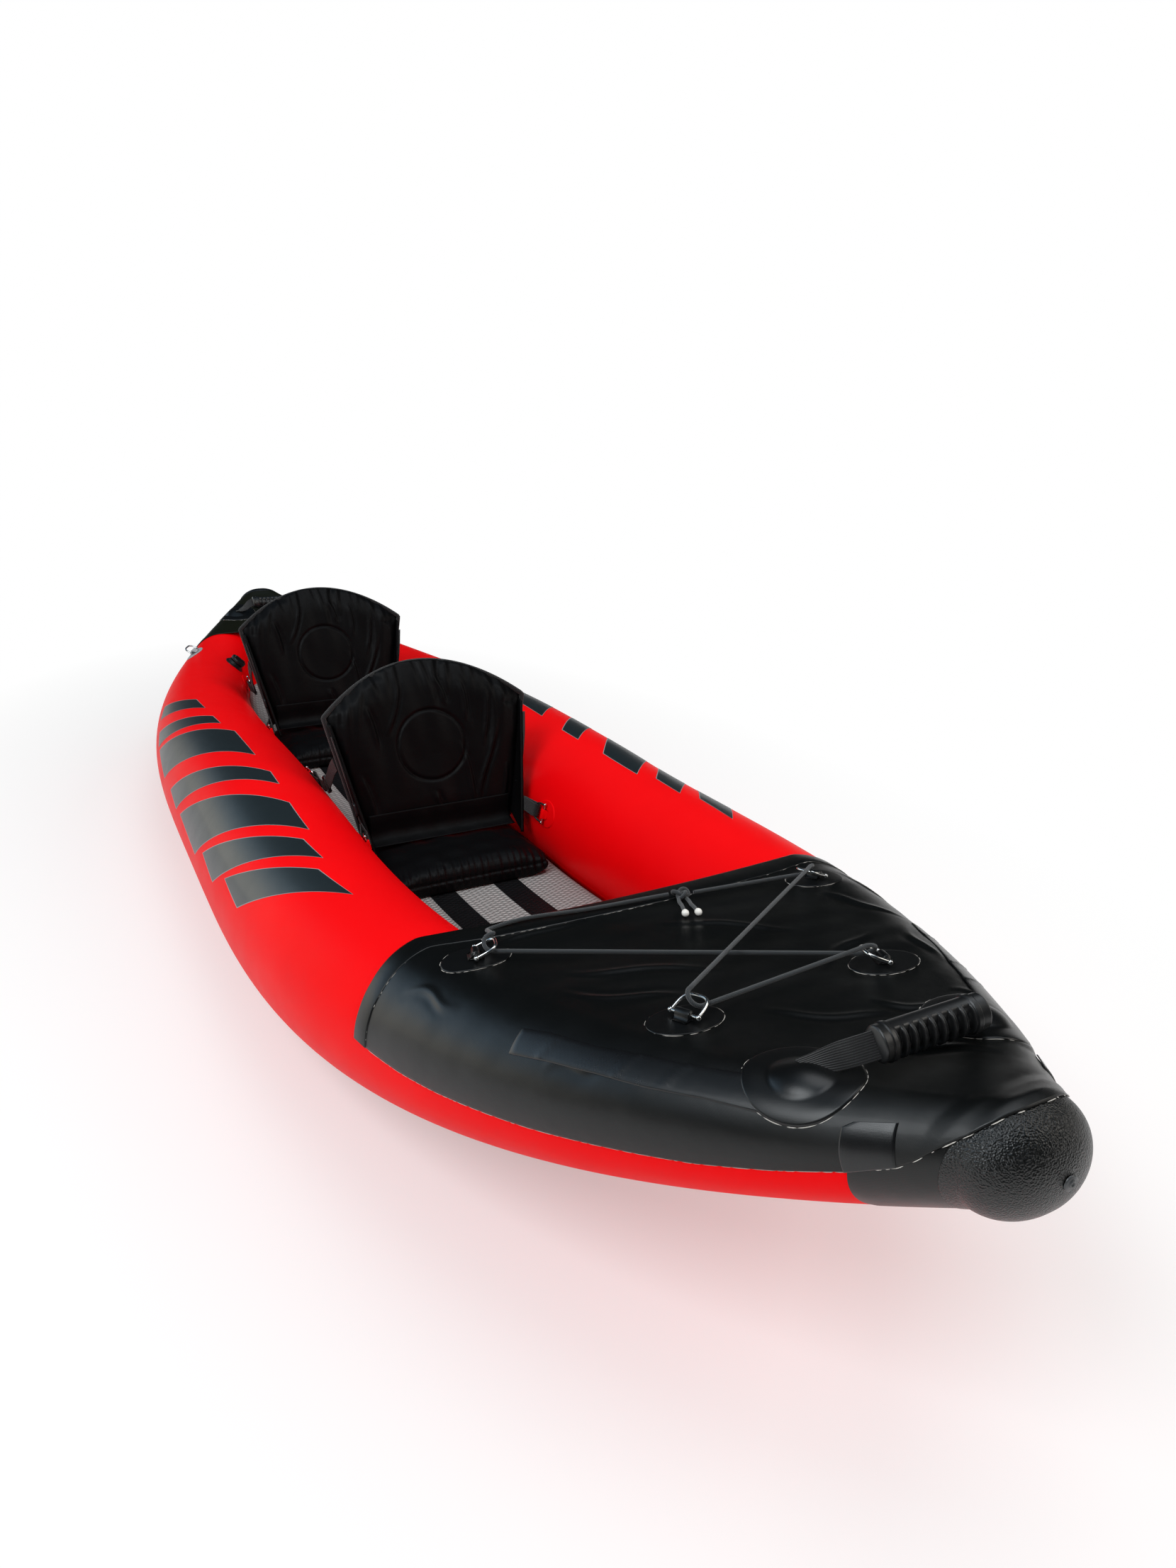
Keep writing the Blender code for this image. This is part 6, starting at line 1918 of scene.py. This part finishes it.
def strap_end(side, index):
    """Centre and outboard normal of a strap's sewn end, in the hinge's frame."""
    if index % 2 == 0:
        foot, top, tip = wing_corners(side)
        normal = (top - foot).cross(tip - foot).normalized()
        normal = normal if normal.x * side > 0 else -normal
        place = foot.lerp(top, 0.9) + (tip - foot).normalized() * 0.012
        return place + normal * (0.002 + 0.0003 + 0.0012), normal
    place = rim_point(side, 0.148, 0.0006 + 0.0012, -0.003)
    rise = rim_point(side, 0.235, 0.0, -0.012) - rim_point(side, 0.0, 0.0, -0.012)
    normal = rise.cross(Vector((0, 1, 0))).normalized()
    return place, normal if normal.x * side > 0 else -normal


BUCKLE_LEVER = 20.0


def build_buckle(name, place, heading, across, start, end):
    """A moulded ladder buckle round a strap: a frame with rounded corners and a grooved bar."""
    heading, across = Vector(heading).normalized(), Vector(across)
    across = (across - heading * across.dot(heading)).normalized()
    made = Matrix((across, heading, across.cross(heading))).transposed().to_4x4()
    made.translation = Vector(place)
    turns = np.linspace(0, 2 * math.pi, 48, endpoint=False)
    outline = np.stack([
        squared(np.cos(turns), 0.4) * 0.0165,
        squared(np.sin(turns), 0.4) * 0.0115, 0 * turns,
    ], -1)
    outline = even(np.vstack([outline, outline[:1]]), 0.0015)[:-1]
    section = flat_section(0.0036, 0.0052, 14)
    across_frame = np.tile(np.array([[0.0, 0.0, 1.0]]) @ np.array(made.to_3x3()).T, (len(outline), 1))
    rim = sweep("rim", moved(outline, made), section[:, ::-1], across_frame, closed=True)
    pieces = [rim]
    for y in (-0.0035, 0.0045):
        bar = [(x, y, 0.0022) for x in np.linspace(-0.0155, 0.0155, 12)]
        pieces.append(sweep("bar", moved(bar, made), flat_section(0.0032, 0.0024, 12)))
    buckle = outward(joined(f"{name}_ladder_buckle", pieces))
    dress(buckle, "black_plastic", None)
    way = end - start
    way = way.normalized() * BUCKLE_LEVER
    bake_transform(buckle)


# The strap's fold round its ring: its place in the ring's frame, and its length and gap behind the bar
FOLD_PLACE = (0, 0.024 * math.cos(SEAT_RING_TILT), 0.024 * math.sin(SEAT_RING_TILT))
FOLD_BACK = 0.045
FOLD_LAY = 0.0015
FOLD = 0.0056
BUCKLE_SHARE = 0.52


def build_straps(seat):
    """The webbing straps from a backrest to its rings, each folded round its ring."""
    first = 0 if seat == "front" else 2
    for side in SIDES:
        for index in (first, first + 1):
            hinge = hinge_place(seat)
            made = seat_ring_frame(side, index)
            made.translation -= hinge
            tip = made @ Vector(FOLD_PLACE)
            end, normal = strap_end(side, index)
            bar = made.to_3x3() @ Vector((1, 0, 0))
            heading = end - tip
            heading = (heading - bar * heading.dot(bar)).normalized()
            off = bar.cross(heading)
            off = off if off.x * side > 0 else -off
            round_bar = np.linspace(0, math.pi, 13)
            fold = [tip + (off * math.cos(a) - heading * math.sin(a)) * FOLD for a in round_bar]
            back = tip + heading * FOLD_BACK
            half_back, spread = tip.lerp(back, 0.5), (FOLD_LAY + FOLD) / 2
            points = [back + off * FOLD_LAY, half_back + off * spread] + fold
            points += [half_back - off * spread, back - off * FOLD_LAY]
            seam = end - points[-1]
            seam = (seam - normal * seam.dot(normal)).normalized()
            sewn = seam.cross(normal)
            sewn = sewn if sewn.dot(bar) > 0 else -sewn
            points += [end - seam * 0.03, end]
            marks = distances(np.array(points))
            directions = np.array([bar] * (len(points) - 2) + [sewn, sewn])
            path = spline(points, 0.003)
            run = np.linspace(0, marks[-1], len(path))
            across = read_off(run, marks, directions)
            way = "fore" if index % 2 == 0 else "aft"
            name = f"{seat}_{side_name(side)}_{way}_strap"
            section = flat_section(STRAP_WIDTH, STRAP_THICKNESS, 32, 0.12)
            strap = sweep(f"{name}_webbing", path + np.array(hinge), section, across)
            dress(strap, "webbing", None, [name])
            start, stop = tip + hinge + heading * 0.02, end + hinge - seam * 0.02
            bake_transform(strap)
            at = int(len(path) * BUCKLE_SHARE)
            way = path[at + 1] - path[at - 1]
            build_buckle(name, path[at] + np.array(hinge), way, across[at], start, stop)


def build_seats():
    """Two seats."""
    build_cushions()
    build_backrests()
    for seat, _ in SEATS:
        build_wings(seat)
        build_straps(seat)


# Stage


def studio_paper():
    """Matt paper near the boat that keeps its shadow, and plain white to the eye beyond it."""
    made = bpy.data.materials.new("matt_studio_paper")
    made.use_nodes = True
    tree = made.node_tree
    tree.nodes.clear()
    paper = add_node(tree, "ShaderNodeBsdfDiffuse", inputs={"Color": (0.93, 0.93, 0.93, 1.0)})
    white = add_node(tree, "ShaderNodeEmission", inputs={"Color": (1, 1, 1, 1), "Strength": 1.0})
    near = add_node(
        tree, "ShaderNodeMapping", {"vector_type": "TEXTURE"},
        {"Vector": coordinates(tree, "Object"), "Scale": (1.0, 2.0, 1.0)},
    )
    reach = add_node(tree, "ShaderNodeVectorMath", {"operation": "LENGTH"}, {0: near.outputs[0]})
    far = reach.outputs["Value"]
    fade = ranged(tree, far, 0.4, 1.0, 0.7, 1.25)
    camera = add_node(tree, "ShaderNodeLightPath").outputs["Is Camera Ray"]
    seen = add_node(tree, "ShaderNodeMath", {"operation": "MULTIPLY"}, {0: fade, 1: camera}).outputs[0]
    mix = add_node(tree, "ShaderNodeMixShader", inputs={0: seen, 1: paper.outputs[0], 2: white.outputs[0]})
    add_node(tree, "ShaderNodeOutputMaterial", inputs={"Surface": mix.outputs[0]})
    return made


WINDOW_WAY = (-0.72, 0.682, 0.13)


def build_stage():
    """A pale floor, soft lamps and a white background."""
    scene = bpy.context.scene
    scene.view_settings.view_transform = "Standard"
    mesh = bpy.data.meshes.new("studio_floor")
    size = 30.0
    corners = [(x * size, y * size, 0) for x, y in ((-1, -1), (1, -1), (1, 1), (-1, 1))]
    mesh.from_pydata(corners, [], [(0, 1, 2, 3)])
    floor = add_object("studio_floor", mesh)
    mesh.materials.append(studio_paper())
    world = bpy.data.worlds.new("studio")
    scene.world = world
    world.use_nodes = True
    tree = world.node_tree
    tree.nodes.clear()
    path = add_node(tree, "ShaderNodeLightPath")
    soft = add_node(tree, "ShaderNodeBackground", inputs={"Color": (1, 1, 1, 1), "Strength": 0.5})
    white = add_node(tree, "ShaderNodeBackground", inputs={"Color": (1, 1, 1, 1), "Strength": 1.0})
    direction = coordinates(tree, "Generated")
    height = add_node(tree, "ShaderNodeSeparateXYZ", inputs={"Vector": direction}).outputs["Z"]
    overhead = ranged(tree, height, 0.02, 0.5, 0.75, 1.0)
    facing = {0: direction, 1: WINDOW_WAY}
    window = add_node(tree, "ShaderNodeVectorMath", {"operation": "DOT_PRODUCT"}, facing)
    pane = ranged(tree, window.outputs["Value"], 0.0, 1.9, 0.8, 0.97)
    strength = add_node(tree, "ShaderNodeMath", {"operation": "MAXIMUM"}, {0: overhead, 1: pane}).outputs[0]
    share = ranged(tree, height, 0.0, 1.0, 0.12, 0.34)
    sky = tinted(tree, share, (1.0, 0.93, 0.78, 1.0), (0.5, 0.75, 1.0, 1.0))
    room = add_node(tree, "ShaderNodeBackground", inputs={"Color": sky, "Strength": strength})
    mirrored = add_node(
        tree, "ShaderNodeMath", {"operation": "MAXIMUM"},
        {0: path.outputs["Is Glossy Ray"], 1: path.outputs["Is Transmission Ray"]},
    ).outputs[0]
    lit = add_node(tree, "ShaderNodeMixShader", inputs={0: mirrored, 1: soft.outputs[0], 2: room.outputs[0]})
    mix = add_node(
        tree, "ShaderNodeMixShader",
        inputs={0: path.outputs["Is Camera Ray"], 1: lit.outputs[0], 2: white.outputs[0]}
    )
    add_node(tree, "ShaderNodeOutputWorld", inputs={"Surface": mix.outputs[0]})
    for name, place, power, width, tint in (
        ("key_lamp", (-2.6, -1.6, 3.4), 82, 1.8, (0.92, 0.97, 1.0)),
        ("fill_lamp", (2.8, -2.6, 2.6), 34, 2.2, (1.0, 0.95, 0.88)),
        ("top_lamp", (0.7, -0.7, 4.2), 42, 2.6, (1.0, 1.0, 1.0)),
    ):
        data = bpy.data.lights.new(name, "AREA")
        data.energy = power
        data.color = tint
        data.size = width
        lamp = bpy.data.objects.new(name, data)
        lamp.location = place
        lamp.rotation_mode = "QUATERNION"
        lamp.rotation_quaternion = (Vector((0, 0, 0.1)) - Vector(place)).to_track_quat("-Z", "Y")
        scene.collection.objects.link(lamp)


BUILDERS = (
    ("camera", "Camera", "Add the camera", build_camera),
    ("bungee", "Bungee", "Add the bungee cord, its knot and its beads", build_bungee),
    ("tubes", "Air tubes", "Add the two air tubes", build_tubes),
    ("tube_seams", "Tube seams", "Add the tubes' welded seams", build_tube_seams),
    ("bow_deck", "Bow deck", "Add the bow's spray deck", build_bow_deck),
    ("bow_trim", "Bow trim", "Add the bow deck's strips and glue lines", build_bow_trim),
    ("stern_deck", "Stern deck", "Add the stern's spray deck", build_stern_deck),
    ("caps", "End caps", "Add the rubber end caps", build_caps),
    ("rivet", "Rivet", "Add the rivet in the bow cap", build_rivet),
    ("bottom", "Bottom", "Add the bottom skin", build_bottom),
    ("floor", "Floor", "Add the drop-stitch floor", build_floor),
    ("deck_rings", "Deck rings", "Add the deck's D-rings", build_deck_rings),
    ("tow_rings", "Tow rings", "Add the towing rings", build_tow_rings),
    ("seat_rings", "Seat rings", "Add the seats' D-rings", build_seat_rings),
    ("handles", "Handles", "Add the carry handles", build_handles),
    ("valves", "Valves", "Add the inflation valves", build_valves),
    ("panels", "Printed panels", "Add the printed panels", build_panels),
    ("seats", "Seats", "Add the two seats", build_seats),
    ("stage", "Stage", "Add the floor, the lamps and the background", build_stage),
)


def make_operator(key, label, text, work):
    """An operator that runs one builder."""
    def execute(self, context):
        """Run the builder once."""
        work()
        return {"FINISHED"}
    return type(
        f"KAYAK_OT_{key}", (bpy.types.Operator,),
        {
            "__doc__": text, "bl_idname": f"kayak.{key}", "bl_label": label,
            "bl_options": {"REGISTER", "UNDO"}, "execute": execute,
        },
    )


OPERATORS = tuple(make_operator(*row) for row in BUILDERS)


class KAYAK_PT_panel(bpy.types.Panel):
    """Buttons and sizes of the kayak."""

    bl_label = "Inflatable Kayak"
    bl_idname = "KAYAK_PT_panel"
    bl_space_type = "VIEW_3D"
    bl_region_type = "UI"
    bl_category = "Kayak"

    def draw(self, context):
        """List a button for each group, then the sizes and colours."""
        for operator in OPERATORS:
            self.layout.operator(operator.bl_idname)
        for name in KayakHull.__annotations__:
            self.layout.prop(context.scene.kayak_hull, name)
        for name in KayakColours.__annotations__:
            self.layout.prop(context.scene.kayak_colours, name)


CLASSES = (KayakHull, KayakColours, *OPERATORS, KAYAK_PT_panel)


def register():
    """Add the classes and the scene's properties."""
    for cls in CLASSES:
        bpy.utils.register_class(cls)
    bpy.types.Scene.kayak_hull = PointerProperty(type=KayakHull)
    bpy.types.Scene.kayak_colours = PointerProperty(type=KayakColours)


def unregister():
    """Remove them again."""
    del bpy.types.Scene.kayak_colours
    del bpy.types.Scene.kayak_hull
    for cls in reversed(CLASSES):
        bpy.utils.unregister_class(cls)


def main():
    """Build the kayak piece by piece and keep both sizes."""
    register()
    for key, *_ in BUILDERS:
        getattr(bpy.ops.kayak, key)()


if __name__ == "__main__":
    main()
